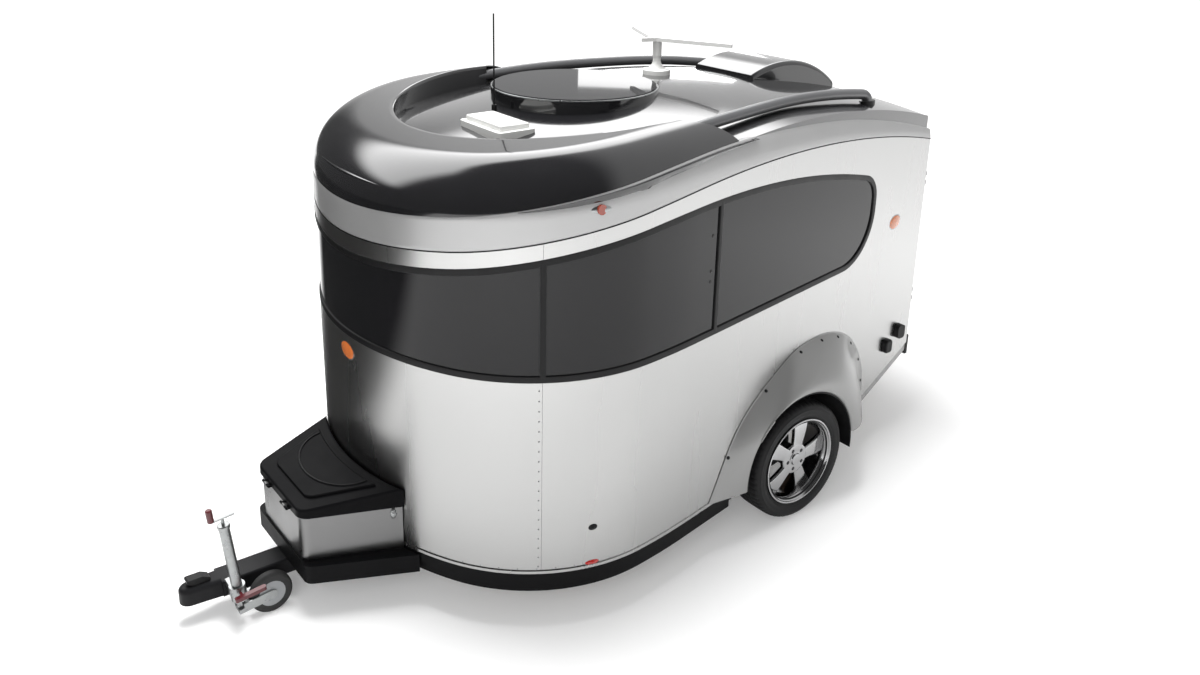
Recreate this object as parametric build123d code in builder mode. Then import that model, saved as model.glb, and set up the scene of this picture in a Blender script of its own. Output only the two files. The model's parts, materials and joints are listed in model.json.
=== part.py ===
"""A small single-axle travel caravan with a rounded nose and a tapered tail.

Millimetres. X runs ahead to the coupling, Y to the left side and Z up. The origin lies on the
floor, under the middle of the overall length. Lengths along X are named as reaches ahead of the
axle, and ahead() turns them into X.
"""
from build123d import *
from math import acos, atan, cos, degrees, radians, sin, sqrt, tan
import os

os.makedirs("parts", exist_ok=True)

# ---- overall and running gear --------------------------------------------------------------------
nose_reach = 2083
tongue = 857  # nose to the tip of the coupling
coupling_reach = nose_reach + tongue
tail_wall_reach = 1350
tail_depth = 50  # rear edge of the walls to the rearmost point
tail_reach = tail_wall_reach + tail_depth
axle_x = (tail_reach - coupling_reach) / 2
tyre_radius = 325.5
wheel_centre_y = 896
wheel_z = tyre_radius
bead_radius = 216
lip_radius = 239
lip_width = 12
running_gap = 0.05  # radial clearance of a shaft in its bore
body_gap = 0.3  # clearance between faces on different bodies

# ---- body plan: nose arc, shoulder arcs, side arcs, straight taper -------------------------------
nose_radius = 1312
nose_angle = 30
shoulder_radius = 804
shoulder_angle = 95
side_radius = 3360
taper = 10.5
wall = 40

# ---- body heights --------------------------------------------------------------------------------
foot_z = 290
kick_reach = -700  # where the lower edge starts to rise to the tail
tail_foot_z = 520
body_top_z = 2400  # above everything that is cut from a straight prism
seam_reach, seam_z, seam_radius = 200, 1985, 7000  # top of the walls: crown place, height, radius
gutter_reach, gutter_z, gutter_radius = 380, 2115, 6200  # top of the roof band
cap_back = 1583  # nose to the cap's highest place
cap_reach, cap_z, cap_radius = nose_reach - cap_back, 2232, 8300  # top of the front fairing
cap_edge = 235  # rounding of the cap's upper edge
roof_reach, roof_z, roof_radius = 350, 2240, 6000  # roof along its middle
roof_crown = 3300  # radius of the roof from side to side
roof_inset = 30
roof_rim = 38
roof_skin = 30
rim_drop = 40  # how far the roof's rim reaches below the gutter
roof_reach_down = 400  # depth below the seam of the form that the roof is cut from

# ---- windows -------------------------------------------------------------------------------------
belt_z = 1220
window_tail_reach = -765
window_reach, window_z, window_radius = 580, 1880, 5000
window_low_round = 300
window_high_round = 160
frame_width = 30
frame_proud = 2
glass_inset = 6
glass = 6
nose_panel_depth = 463
seam_line_reach = nose_reach - nose_panel_depth  # nose panel to side panels
divider_reach = 672
divider_width = 26

# ---- wheel arches --------------------------------------------------------------------------------
fender_lip = 392
arch_play = 6  # wall opening beyond the fender's lip
liner = 6
liner_face_y = 680
fender_face_y = 1006
fender_root_y = 700
fender_wall = 6
fender_round = 70
fender_rear_z = 385
fender_rear_reach = -1000
# section of the fender: (front reach, rear reach, crown reach, crown height)
fender_root = (720, -860, -80, 930)
fender_face = (520, -610, -50, 800)

# ---- floor and chassis ---------------------------------------------------------------------------
deck = 30
rail_z = 180
rail_width = 60
rail_y = 330
rail_back = 183  # nose to the front of the chassis rails
rail_front_reach = nose_reach - rail_back
cross_back = 213  # nose to the first cross-member
# cross-members: (reach, half length)
cross_members = ((nose_reach - cross_back, 530), (1000, 860), (330, 620), (-420, 620))
cross_width = 50
cross_height = 70
bar_width = 130
bar_z = 100
bar_back_reach = 950
bar_front_back = 180  # tip of the coupling to the end of the bar
bar_front_reach = coupling_reach - bar_front_back
bar_high_z = 180
bar_round = 10
axle_tube = 60
axle_tube_reach = 130
arm_width = 34
arm_height = 70
arm_y = 706
stub_radius = 17
stub_end_y = 872
drum_radius = 118
drum_back_y = 742
drum_face_y = 802
neck_radius = 60
disc_low_y = 936
disc_high_y = 960
rim_barrel = 11
rim_flange = 86  # inner side of a rim flange from the rim's middle
window_low = 84
window_high = 192
spoke_count = 5
spoke_root = 58
spoke_tip = 118
window_round = 12
bolt_circle_radius = 56
bolt_hole = 8.5
cap_radius_wheel = 30
cap_proud = 8
# tyre's outline: (distance from its middle, radius)
tyre_outline = ((86, 216), (86, 241), (99, 256), (102.5, 278), (98, 302), (88, 317), (74, 323.5))

# ---- skirts --------------------------------------------------------------------------------------
skirt_back_reach = 440
skirt_gap = 3
skirt_low_z = 180
skirt_step_z = 232
skirt_depth = 55
skirt_step = 14
sill_height = 52
sill_front_reach = -612

# ---- tail ----------------------------------------------------------------------------------------
portal_depth = 50
portal_lap = 14  # how far the doors lap over the opening's edge
door_gap = 3
door = 36
door_low_z = 566
door_high_z = 1780
hinge_inset = 4
hinge_offset = 17
door_glass_width = 330
door_glass_height = 420
door_glass_z = 1390
door_glass_round = 60
hinge_radius = 8
hinge_plate = 5
knuckle = 26
knuckle_gap = 0.5
hinge_pin = 4
hinge_zs = (843, 1573)
handle_z = 1080
handle_length = 130
handle_width = 24
handle_y = 60
sill_beam_depth = 34
sill_beam_low_z = 440
lamp_radius = 42
lamp_ys = (-480, -370, 370, 480)
lamp_proud = 10

# ---- front box -----------------------------------------------------------------------------------
box_depth = 362  # nose to the front of the box
box_tuck = 93  # nose to the box's rear corners
box_front_reach = nose_reach + box_depth
box_front_half = 245
box_rear_reach = nose_reach - box_tuck
box_rear_half = 424
box_low_z = 270
box_high_z = 520
box_round = 60
box_wall = 4
nose_gap = 6
lid_over = 10
lid_front_z = 535
lid_rear_z = 590
lid_drop = 26
lid_skin = 5
lid_step = 55
lid_step_height = 12
lid_play = 5
lid_rest = 0.3
lid_edge = 12
lid_land = 20
lid_axis_z = 500
lid_axis_out = 24  # lid's hinge axis ahead of the box
lid_hinge_radius = 6
lid_pin = 3
lid_knuckle = 24
lid_hinge_y = 110
tray_lap = 10
tray_front_reach = box_front_reach + tray_lap
tray_front_half = 295
tray_rear_half = 500
tray_round = 50

# ---- coupling ------------------------------------------------------------------------------------
head_width = 112
head_low_z = 104
head_high_z = 184
ball_radius = 25.4  # socket for a 50 mm ball
head_nose = 46  # radius of the head round the ball
head_edge = 24
socket_mouth = 30
handle_low_back = 140  # tip of the coupling to the handle's two ends
handle_high_back = 35
handle_low_reach = coupling_reach - handle_low_back
handle_high_reach = coupling_reach - handle_high_back
coupling_handle_width = 46
coupling_handle_height = 34

# ---- jockey wheel --------------------------------------------------------------------------------
jockey_back = 240  # tip of the coupling to the tube's axis at the floor
jockey_reach = coupling_reach - jockey_back
jockey_y = 138
jockey_lean = 6
outer_tube = 24
tube_low = 150
tube_high = 510
inner_tube = 20
inner_low = 40
inner_high = 420
clamp_low = 100
clamp_height = 76
clamp_radius = 36
clamp_ear = 60
lever_length = 144
lever_width = 24
lever_out = 66
lever_round = 10
lever_stalk = 12
jockey_wheel_radius = 100
jockey_wheel_width = 46
jockey_hub_radius = 62
jockey_trail = 134
fork_plate = 5
fork_gap = 4
pin_radius = 6
foot_block = 44
cap_height = 16
crank_radius = 7
crank_rise = 30
crank_arm = 96
knob_radius = 15
knob_length = 62

# ---- roof gear -----------------------------------------------------------------------------------
oval_back = 1203  # nose to the middle of the fairing's opening
oval_reach = nose_reach - oval_back
skylight_back = 100  # middle of the fairing's opening to the skylight
skylight_reach = oval_reach - skylight_back
skylight_radius = 420
skylight_rim = 22
skylight_top_z = 2252
skylight_base_z = 2150
skylight_glass = 10
oval_radius = 820
fairing_end = ((oval_reach - 80, 800), (oval_reach - 350, 1104))  # inner and outer point of its rear edge: reach, y
rail_tube = 28
grab_points = ((oval_reach - 20, 838, 2163), (-20, 690, 2192), (-690, 588, 2140))  # reach, y, z along a rail
grab_foot = (-772, 585, 2084)
foot_pad_length = 110
foot_pad_width = 62
foot_pad_z = 2096
vent_ahead = 495  # middle of the fairing's opening to the vent
vent_reach = oval_reach + vent_ahead
vent_y = 215
vent_length = 150
vent_width = 300
vent_z = 2186
vent_base = 26
vent_edge = 8
vent_flange_z = 2160
whip_back = 113  # vent to the whip antenna
whip_reach = vent_reach - whip_back
whip_draft = 1.05
whip_y = 10
whip_radius = 4
whip_height = 430
whip_base_radius = 16
whip_base_height = 40
antenna_reach = 200
antenna_y = -50
antenna_z = 2425
antenna_base_radius = 75
antenna_flare_z = 2262
antenna_stem_radius = 24
antenna_wing = 20
antenna_nose = 110
antenna_tail = 60
antenna_span = 800
antenna_sweep = 150
pod_front_reach = -250
pod_rear_reach = -900
pod_crown_reach = -480
pod_width = 460
pod_front_z = 2226
pod_high_z = 2282
pod_tail_z = 2140
pod_round = 24
lens_radius = 22
lens_back = 221  # nose panel's edge to the marker lamp
lens_reach = seam_line_reach - lens_back
lens_z = 1968
lens_proud = 7
inlet_places = ((-1070, 592), (-1206, 647))  # reach, z on the left side
inlet_round = 12
inlet_width = 62
inlet_height = 84
inlet_proud = 34


def ahead(reach):
    """X of a place this far ahead of the axle."""
    return axle_x + reach


nose_centre = (ahead(nose_reach - nose_radius), 0)
shoulder_centre = (
    nose_centre[0] + (nose_radius - shoulder_radius) * cos(radians(nose_angle)),
    (nose_radius - shoulder_radius) * sin(radians(nose_angle)),
)
side_centre = (
    shoulder_centre[0] + (shoulder_radius - side_radius) * cos(radians(shoulder_angle)),
    shoulder_centre[1] + (shoulder_radius - side_radius) * sin(radians(shoulder_angle)),
)
half_width = shoulder_centre[1] + shoulder_radius
span = 2 * half_width
tail_x = ahead(-tail_wall_reach)
front_x = ahead(nose_reach) + wall
seam_crown = (ahead(seam_reach), seam_z, seam_radius)
gutter_crown = (ahead(gutter_reach), gutter_z, gutter_radius)
cap_crown = (ahead(cap_reach), cap_z, cap_radius)
window_crown = (ahead(window_reach), window_z, window_radius)


def skin_y(reach, inset=0):
    """Half width of the body on its straight taper, this far ahead of the axle."""
    turn = radians(90 + taper)
    edge_x = side_centre[0] + (side_radius - inset) * cos(turn)
    edge_y = side_centre[1] + (side_radius - inset) * sin(turn)
    return edge_y - (edge_x - ahead(reach)) * tan(radians(taper))


def shoulder_y(reach):
    """Half width of the body on its shoulder arc, this far ahead of the axle."""
    dx = ahead(reach) - shoulder_centre[0]
    return shoulder_centre[1] + sqrt(shoulder_radius**2 - dx**2)


def plan_face(inset, back_x=tail_x):
    """Plan of the body, this far inside its skin and back to back_x."""
    with BuildSketch() as face:
        with BuildLine():
            CenterArc(nose_centre, nose_radius - inset, 0, nose_angle)
            CenterArc(shoulder_centre, shoulder_radius - inset, nose_angle, shoulder_angle - nose_angle)
            side = CenterArc(side_centre, side_radius - inset, shoulder_angle, 90 + taper - shoulder_angle)
            tail = (back_x, (side @ 1).Y - ((side @ 1).X - back_x) * tan(radians(taper)))
            Line(side @ 1, tail)
            Line(tail, (back_x, 0))
            mirror(about=Plane.XZ)
        make_face()
    return face.sketch


def ring_face(outer_inset, inner_inset):
    """Plan of a wall between two insets, open at the tail."""
    with BuildSketch() as face:
        add(plan_face(outer_inset))
        add(plan_face(inner_inset, tail_x - wall), mode=Mode.SUBTRACT)
    return face.sketch


def crown_arc(crown, high_x, low_x):
    """Arc along the body from high_x back to low_x. crown is its top's x and z and its radius."""
    x, z, radius = crown
    start = degrees(acos((high_x - x) / radius))
    end = degrees(acos((low_x - x) / radius))
    return CenterArc((x, z - radius), radius, start, end - start)


def side_face(low_line, crown):
    """Side view between a line of points, from the front back, and an arc over them."""
    with BuildSketch(Plane.XZ) as face:
        with BuildLine():
            low = Polyline(*low_line)
            high = crown_arc(crown, (low @ 0).X, (low @ 1).X)
            Line(low @ 0, high @ 0)
            Line(high @ 1, low @ 1)
        make_face()
    return face.sketch


def foot_line(drop=0, start_x=front_x, end_x=tail_x):
    """Lower edge of the body in side view, from start_x back to end_x, lowered by drop."""
    kick_x = ahead(kick_reach)
    slope = (tail_foot_z - foot_z) / (kick_x - tail_x)
    end_z = foot_z + slope * max(kick_x - end_x, 0)
    if start_x <= kick_x:
        return [(start_x, foot_z + slope * (kick_x - start_x) - drop), (end_x, end_z - drop)]
    return [(start_x, foot_z - drop), (kick_x, foot_z - drop), (end_x, end_z - drop)]


def sloped_face(thickness, drop=0, start_x=front_x, end_x=tail_x, y=0):
    """Side view of a layer under or over the body's lower edge."""
    low = foot_line(drop, start_x, end_x)
    high = foot_line(drop - thickness, start_x, end_x)
    with BuildSketch(across(y)) as face:
        with BuildLine():
            Polyline(*low, *reversed(high), close=True)
        make_face()
    return face.sketch


def across(y):
    """Side-view plane at this y: X to the right and Z up."""
    return Plane(origin=(0, y, 0), x_dir=(1, 0, 0), z_dir=(0, -1, 0))


def arch_face(radius, y=0):
    """Side view of a wheel opening, round above the axle and straight down to the floor."""
    with BuildSketch(across(y)) as face:
        with Locations((axle_x, wheel_z)):
            Circle(radius)
        with Locations((axle_x, wheel_z / 2)):
            Rectangle(2 * radius, wheel_z)
    return face.sketch


def box_face(front_reach, front_half, rear_half, corner, gap):
    """Plan of a tapered box ahead of the nose, with a gap to the nose's skin."""
    with BuildSketch() as face:
        with BuildLine():
            Polyline(
                (ahead(front_reach), front_half),
                (ahead(box_rear_reach), rear_half),
                (ahead(box_rear_reach), -rear_half),
                (ahead(front_reach), -front_half),
                close=True,
            )
        make_face()
        fillet(face.vertices().group_by(Axis.X)[-1], corner)
        add(plan_face(-gap), mode=Mode.SUBTRACT)
    return face.sketch


def window_face(inset):
    """Side view of the window band, this far inside its frame's outer edge."""
    low = belt_z + inset
    back = ahead(window_tail_reach) + inset
    crown = (window_crown[0], window_z - inset, window_radius - inset)
    with BuildSketch(Plane.XZ) as face:
        with BuildLine():
            top = crown_arc(crown, front_x, back)
            Polyline(top @ 1, (back, low), (front_x, low), top @ 0)
        make_face()
        fillet(face.vertices().group_by(Axis.X)[0].sort_by(Axis.Y)[0], window_low_round - inset)
        fillet(face.vertices().group_by(Axis.X)[0].sort_by(Axis.Y)[-1], window_high_round - inset)
    return face.sketch


def strip_face(low_x, high_x):
    """Tall side view of the slice between two x."""
    with BuildSketch(Plane.XZ) as face:
        with Locations(((low_x + high_x) / 2, body_top_z / 2)):
            Rectangle(high_x - low_x, body_top_z)
    return face.sketch


def cap_solid(inset):
    """The body's outer form with its rounded upper edge, this far inside the skin."""
    crown = (cap_crown[0], cap_z - inset, cap_radius - inset)
    with BuildPart() as cap:
        extrude(plan_face(inset), amount=body_top_z)
        extrude(side_face([(front_x, 0), (tail_x - wall, 0)], crown), amount=span, both=True,
                mode=Mode.INTERSECT)
        top = cap.faces().sort_by(Axis.Z)[-1]
        rim = [edge for edge in top.edges() if edge.center().X > tail_x + 1]
        fillet(rim, cap_edge - inset)
    return cap.part


def roof_solid(drop, inset):
    """Everything under the crowned roof surface lowered by drop, inside the plan at an inset."""
    low_z = seam_z - roof_reach_down
    with BuildPart() as body:
        section = Plane(origin=(ahead(roof_reach), 0, 0), x_dir=(0, 1, 0), z_dir=(1, 0, 0))
        half_turn = degrees(atan(half_width / roof_crown)) + 2
        with BuildSketch(section):
            with BuildLine():
                arc = CenterArc((0, roof_z - drop - roof_crown), roof_crown, 90 - half_turn, 2 * half_turn)
                Polyline(arc @ 1, ((arc @ 1).X, low_z), ((arc @ 0).X, low_z), arc @ 0)
            make_face()
        spin = Axis((ahead(roof_reach), 0, roof_z - roof_radius), (0, 1, 0))
        front_turn = 20
        revolve(axis=spin, revolution_arc=front_turn)
        with BuildSketch(section):
            with BuildLine():
                arc = CenterArc((0, roof_z - drop - roof_crown), roof_crown, 90 - half_turn, 2 * half_turn)
                Polyline(arc @ 1, ((arc @ 1).X, low_z), ((arc @ 0).X, low_z), arc @ 0)
            make_face()
        revolve(axis=spin, revolution_arc=-front_turn)
        extrude(plan_face(inset), amount=body_top_z, mode=Mode.INTERSECT)
    return body.part


def finish(piece, name):
    """Label a piece and write it."""
    piece.part.label = name
    export_step(piece.part, f"parts/{name}.step")



# ---- outer forms that several pieces are cut from ------------------------------------------------
cap_skin = cap_solid(0)
cap_inside = cap_solid(roof_inset + roof_rim)
roof_skin_form = roof_solid(0, roof_inset)
roof_under_form = roof_solid(roof_skin, roof_inset + roof_rim)
body_plan = plan_face(0)
above_gutter = side_face([(front_x, body_top_z), (tail_x - wall, body_top_z)], gutter_crown)
below_seam = side_face([(front_x, 0), (tail_x - wall, 0)], seam_crown)
wall_view = side_face(foot_line(), seam_crown)

# ---- walls ---------------------------------------------------------------------------------------
seam_x = ahead(seam_line_reach)
wall_strips = {
    "wall_nose": (0, seam_x, front_x),
    "wall_left": (1, tail_x, seam_x),
    "wall_right": (-1, tail_x, seam_x),
}
for name, (side, low_x, high_x) in wall_strips.items():
    with BuildPart() as wall_panel:
        extrude(ring_face(0, wall), amount=body_top_z)
        extrude(wall_view, amount=span, both=True, mode=Mode.INTERSECT)
        extrude(window_face(0), amount=span, both=True, mode=Mode.SUBTRACT)
        if side:
            extrude(strip_face(low_x, high_x), amount=span, dir=(0, side, 0), mode=Mode.INTERSECT)
            extrude(arch_face(fender_lip + arch_play), amount=span, both=True, mode=Mode.SUBTRACT)
        else:
            extrude(strip_face(low_x, high_x), amount=span, both=True, mode=Mode.INTERSECT)
    finish(wall_panel, name)

# ---- window frames and panes ---------------------------------------------------------------------
half_bar = divider_width / 2
divider_x = ahead(divider_reach)
# node: (side, low and high x of each pane)
pane_strips = {
    "panes_nose": (0, ((seam_x + half_bar, front_x),)),
    "panes_left": (1, ((divider_x + half_bar, seam_x - half_bar), (tail_x, divider_x - half_bar))),
    "panes_right": (-1, ((divider_x + half_bar, seam_x - half_bar), (tail_x, divider_x - half_bar))),
}
with BuildSketch(Plane.XZ) as pane_view:
    add(window_face(frame_width))
    for bar_x in (seam_x, divider_x):
        add(strip_face(bar_x - half_bar, bar_x + half_bar), mode=Mode.SUBTRACT)

for name, (side, strips) in pane_strips.items():
    with BuildSketch(Plane.XZ) as view:
        for low_x, high_x in strips:
            add(strip_face(low_x, high_x))
        add(window_face(frame_width), mode=Mode.INTERSECT)
    with BuildPart() as pane:
        extrude(ring_face(glass_inset, glass_inset + glass), amount=body_top_z)
        if side:
            extrude(view.sketch, amount=span, dir=(0, side, 0), mode=Mode.INTERSECT)
        else:
            extrude(view.sketch, amount=span, both=True, mode=Mode.INTERSECT)
    finish(pane, name)

with BuildPart() as window_frame:
    extrude(ring_face(-frame_proud, wall), amount=body_top_z)
    extrude(window_face(0), amount=span, both=True, mode=Mode.INTERSECT)
    extrude(pane_view.sketch, amount=span, both=True, mode=Mode.SUBTRACT)
finish(window_frame, "window_frame")

# ---- roof band, roof and front fairing -----------------------------------------------------------
with BuildPart() as roof_band:
    add(cap_skin)
    add(cap_inside, mode=Mode.SUBTRACT)
    extrude(below_seam, amount=span, both=True, mode=Mode.SUBTRACT)
    extrude(above_gutter, amount=span, both=True, mode=Mode.SUBTRACT)
    with BuildSketch():
        with Locations((tail_x, 0)):
            Rectangle(2 * tail_reach, span, align=(Align.MAX, Align.CENTER))
    extrude(amount=body_top_z, mode=Mode.SUBTRACT)
    add(roof_skin_form, mode=Mode.SUBTRACT)
finish(roof_band, "roof_band")

rim_crown = (gutter_crown[0], gutter_z - rim_drop, gutter_radius - rim_drop)
below_rim = side_face([(front_x, 0), (tail_x - wall, 0)], rim_crown)
skylight_x = ahead(skylight_reach)
with BuildPart() as roof_shell:
    add(roof_skin_form)
    add(roof_under_form, mode=Mode.SUBTRACT)
    extrude(below_rim, amount=span, both=True, mode=Mode.SUBTRACT)
    with BuildSketch(Plane.XY.offset(skylight_base_z)):
        with Locations((skylight_x, 0)):
            Circle(skylight_radius - skylight_rim)
    extrude(amount=body_top_z, both=True, mode=Mode.SUBTRACT)
finish(roof_shell, "roof_shell")

end_in, end_out = fairing_end
with BuildPart() as front_fairing:
    add(cap_skin)
    extrude(side_face([(front_x, 0), (tail_x - wall, 0)], gutter_crown), amount=span, both=True,
            mode=Mode.SUBTRACT)
    add(roof_skin_form, mode=Mode.SUBTRACT)
    with BuildSketch() as opening:
        with Locations((ahead(oval_reach), 0)):
            Circle(oval_radius)
        with BuildLine():
            Polyline(
                (ahead(oval_reach), oval_radius),
                (ahead(end_in[0]), end_in[1]),
                (ahead(end_out[0]), end_out[1]),
                (tail_x - wall, end_out[1]),
                (tail_x - wall, -end_out[1]),
                (ahead(end_out[0]), -end_out[1]),
                (ahead(end_in[0]), -end_in[1]),
                (ahead(oval_reach), -oval_radius),
                close=True,
            )
        make_face()
    extrude(amount=body_top_z, mode=Mode.SUBTRACT)
finish(front_fairing, "front_fairing")

# ---- skylight ------------------------------------------------------------------------------------
with BuildPart() as skylight_curb:
    with BuildSketch(Plane.XY.offset(skylight_base_z)):
        with Locations((skylight_x, 0)):
            Circle(skylight_radius)
            Circle(skylight_radius - skylight_rim, mode=Mode.SUBTRACT)
    extrude(amount=skylight_top_z - skylight_glass - skylight_base_z)
    add(roof_skin_form, mode=Mode.SUBTRACT)
finish(skylight_curb, "skylight_curb")

with BuildPart() as skylight_pane:
    with BuildSketch(Plane.XY.offset(skylight_top_z - skylight_glass)):
        with Locations((skylight_x, 0)):
            Circle(skylight_radius - skylight_rim / 4)
    extrude(amount=skylight_glass)
    fillet(skylight_pane.faces().sort_by(Axis.Z)[-1].edges(), skylight_glass / 2)
finish(skylight_pane, "skylight_pane")

# ---- fenders and wheel housings ------------------------------------------------------------------
def fender_section(section, y, inset):
    """Arched outline of a fender at this y, this far inside its skin."""
    front, rear, crown, crown_z = section
    low_z = foot_z - inset
    with BuildSketch(across(y)) as face:
        with BuildLine():
            arch = ThreePointArc(
                (ahead(front) - inset, low_z),
                (ahead(crown), crown_z - inset),
                (ahead(rear) + inset, low_z),
            )
            Line(arch @ 1, arch @ 0)
        make_face()
    return face.sketch


def fender_form(side, inset):
    """Form of a fender, this far inside its skin, rounded along its outer edge."""
    with BuildPart() as form:
        loft([
            fender_section(fender_root, side * fender_root_y, inset),
            fender_section(fender_face, side * (fender_face_y - inset), inset),
        ])
        outer = form.faces().sort_by(Axis.Y)[-1 if side > 0 else 0]
        fillet(outer.edges().filter_by(GeomType.CIRCLE), fender_round - inset)
    return form.part


sides = ((1, "left"), (-1, "right"))
liner_radius = fender_lip - body_gap
for side, word in sides:
    outer_form = fender_form(side, 0)
    inner_form = fender_form(side, fender_wall)
    with BuildPart() as fender:
        add(outer_form)
        add(inner_form, mode=Mode.SUBTRACT)
        extrude(arch_face(fender_lip), amount=span, dir=(0, side, 0), mode=Mode.SUBTRACT)
        extrude(body_plan, amount=body_top_z, mode=Mode.SUBTRACT)
        with BuildSketch(Plane.XZ):
            with Locations((axle_x, 0)):
                Rectangle(-fender_rear_reach, 2 * fender_rear_z, align=(Align.MAX, Align.CENTER))
        extrude(amount=span, both=True, mode=Mode.SUBTRACT)
    finish(fender, f"fender_{word}")

with BuildPart() as wheel_housings:
    for side, word in sides:
        depth = fender_face_y - liner - liner_face_y
        extrude(arch_face(liner_radius, side * liner_face_y), amount=depth, dir=(0, side, 0))
    for side, word in sides:
        inner_y = side * (liner_face_y + liner)
        extrude(arch_face(liner_radius - liner, inner_y), amount=span, dir=(0, side, 0),
                mode=Mode.SUBTRACT)
    with BuildSketch():
        with Locations((axle_x, 0)):
            Rectangle(span, 2 * span)
    extrude(amount=foot_z, both=True, mode=Mode.SUBTRACT)
finish(wheel_housings, "wheel_housings")

# ---- floor and chassis ---------------------------------------------------------------------------
portal_x = tail_x + portal_depth
with BuildPart() as floor_deck:
    extrude(plan_face(wall), amount=body_top_z)
    extrude(sloped_face(deck, 0, front_x, portal_x), amount=span, both=True, mode=Mode.INTERSECT)
    for side, word in sides:
        extrude(arch_face(liner_radius, side * liner_face_y), amount=span, dir=(0, side, 0),
                mode=Mode.SUBTRACT)
finish(floor_deck, "floor_deck")

rail_height = foot_z - rail_z
with BuildPart() as chassis_frame:
    for side, word in sides:
        rail_side = side * (rail_y - rail_width / 2)
        extrude(sloped_face(rail_height, rail_height, ahead(rail_front_reach), portal_x, rail_side),
                amount=rail_width, dir=(0, side, 0))
    for reach, half_length in cross_members:
        with BuildSketch(Plane.XY.offset(foot_z - cross_height)):
            with Locations((ahead(reach), 0)):
                Rectangle(cross_width, 2 * half_length)
        extrude(amount=cross_height)
    with BuildSketch(Plane.XY.offset(bar_high_z)):
        with Locations((ahead(bar_back_reach), 0)):
            Rectangle(rail_front_reach - bar_back_reach, bar_width, align=(Align.MIN, Align.CENTER))
    extrude(amount=foot_z - cross_height - bar_high_z)
finish(chassis_frame, "chassis_frame")

with BuildPart() as drawbar:
    with BuildSketch(Plane.XY.offset(bar_z)):
        with Locations((ahead(bar_back_reach), 0)):
            Rectangle(bar_front_reach - bar_back_reach, bar_width, align=(Align.MIN, Align.CENTER))
    extrude(amount=bar_high_z - bar_z)
    fillet(drawbar.edges().filter_by(Axis.X), bar_round)
finish(drawbar, "drawbar")

tube_x = ahead(axle_tube_reach)
tube_z = rail_z - axle_tube / 2
with BuildPart() as axle_beam:
    with BuildSketch(Plane.XZ):
        with Locations((tube_x, tube_z)):
            Rectangle(axle_tube, axle_tube)
    extrude(amount=arm_y + arm_width / 2, both=True)
    for side, word in sides:
        with BuildSketch(across(side * (arm_y - arm_width / 2))):
            with BuildLine():
                Line((tube_x, tube_z), (axle_x, wheel_z))
            trace(line_width=arm_height)
            with Locations((axle_x, wheel_z)):
                Circle(arm_height / 2)
        extrude(amount=arm_width, dir=(0, side, 0))
        with BuildSketch(across(side * arm_y)):
            with Locations((axle_x, wheel_z)):
                Circle(stub_radius)
        extrude(amount=stub_end_y - arm_y, dir=(0, side, 0))
finish(axle_beam, "axle_beam")

# ---- road wheels ---------------------------------------------------------------------------------
def ring_section(points, side):
    """Half section of a wheel's ring from (offset, radius) points, on the plane of the wheel's axis."""
    axis_plane = Plane(origin=(axle_x, side * wheel_centre_y, wheel_z), x_dir=(0, side, 0),
                       z_dir=(side, 0, 0))
    with BuildSketch(axis_plane) as section:
        with BuildLine():
            Polyline(*points, close=True)
        make_face()
    return section.sketch


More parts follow.
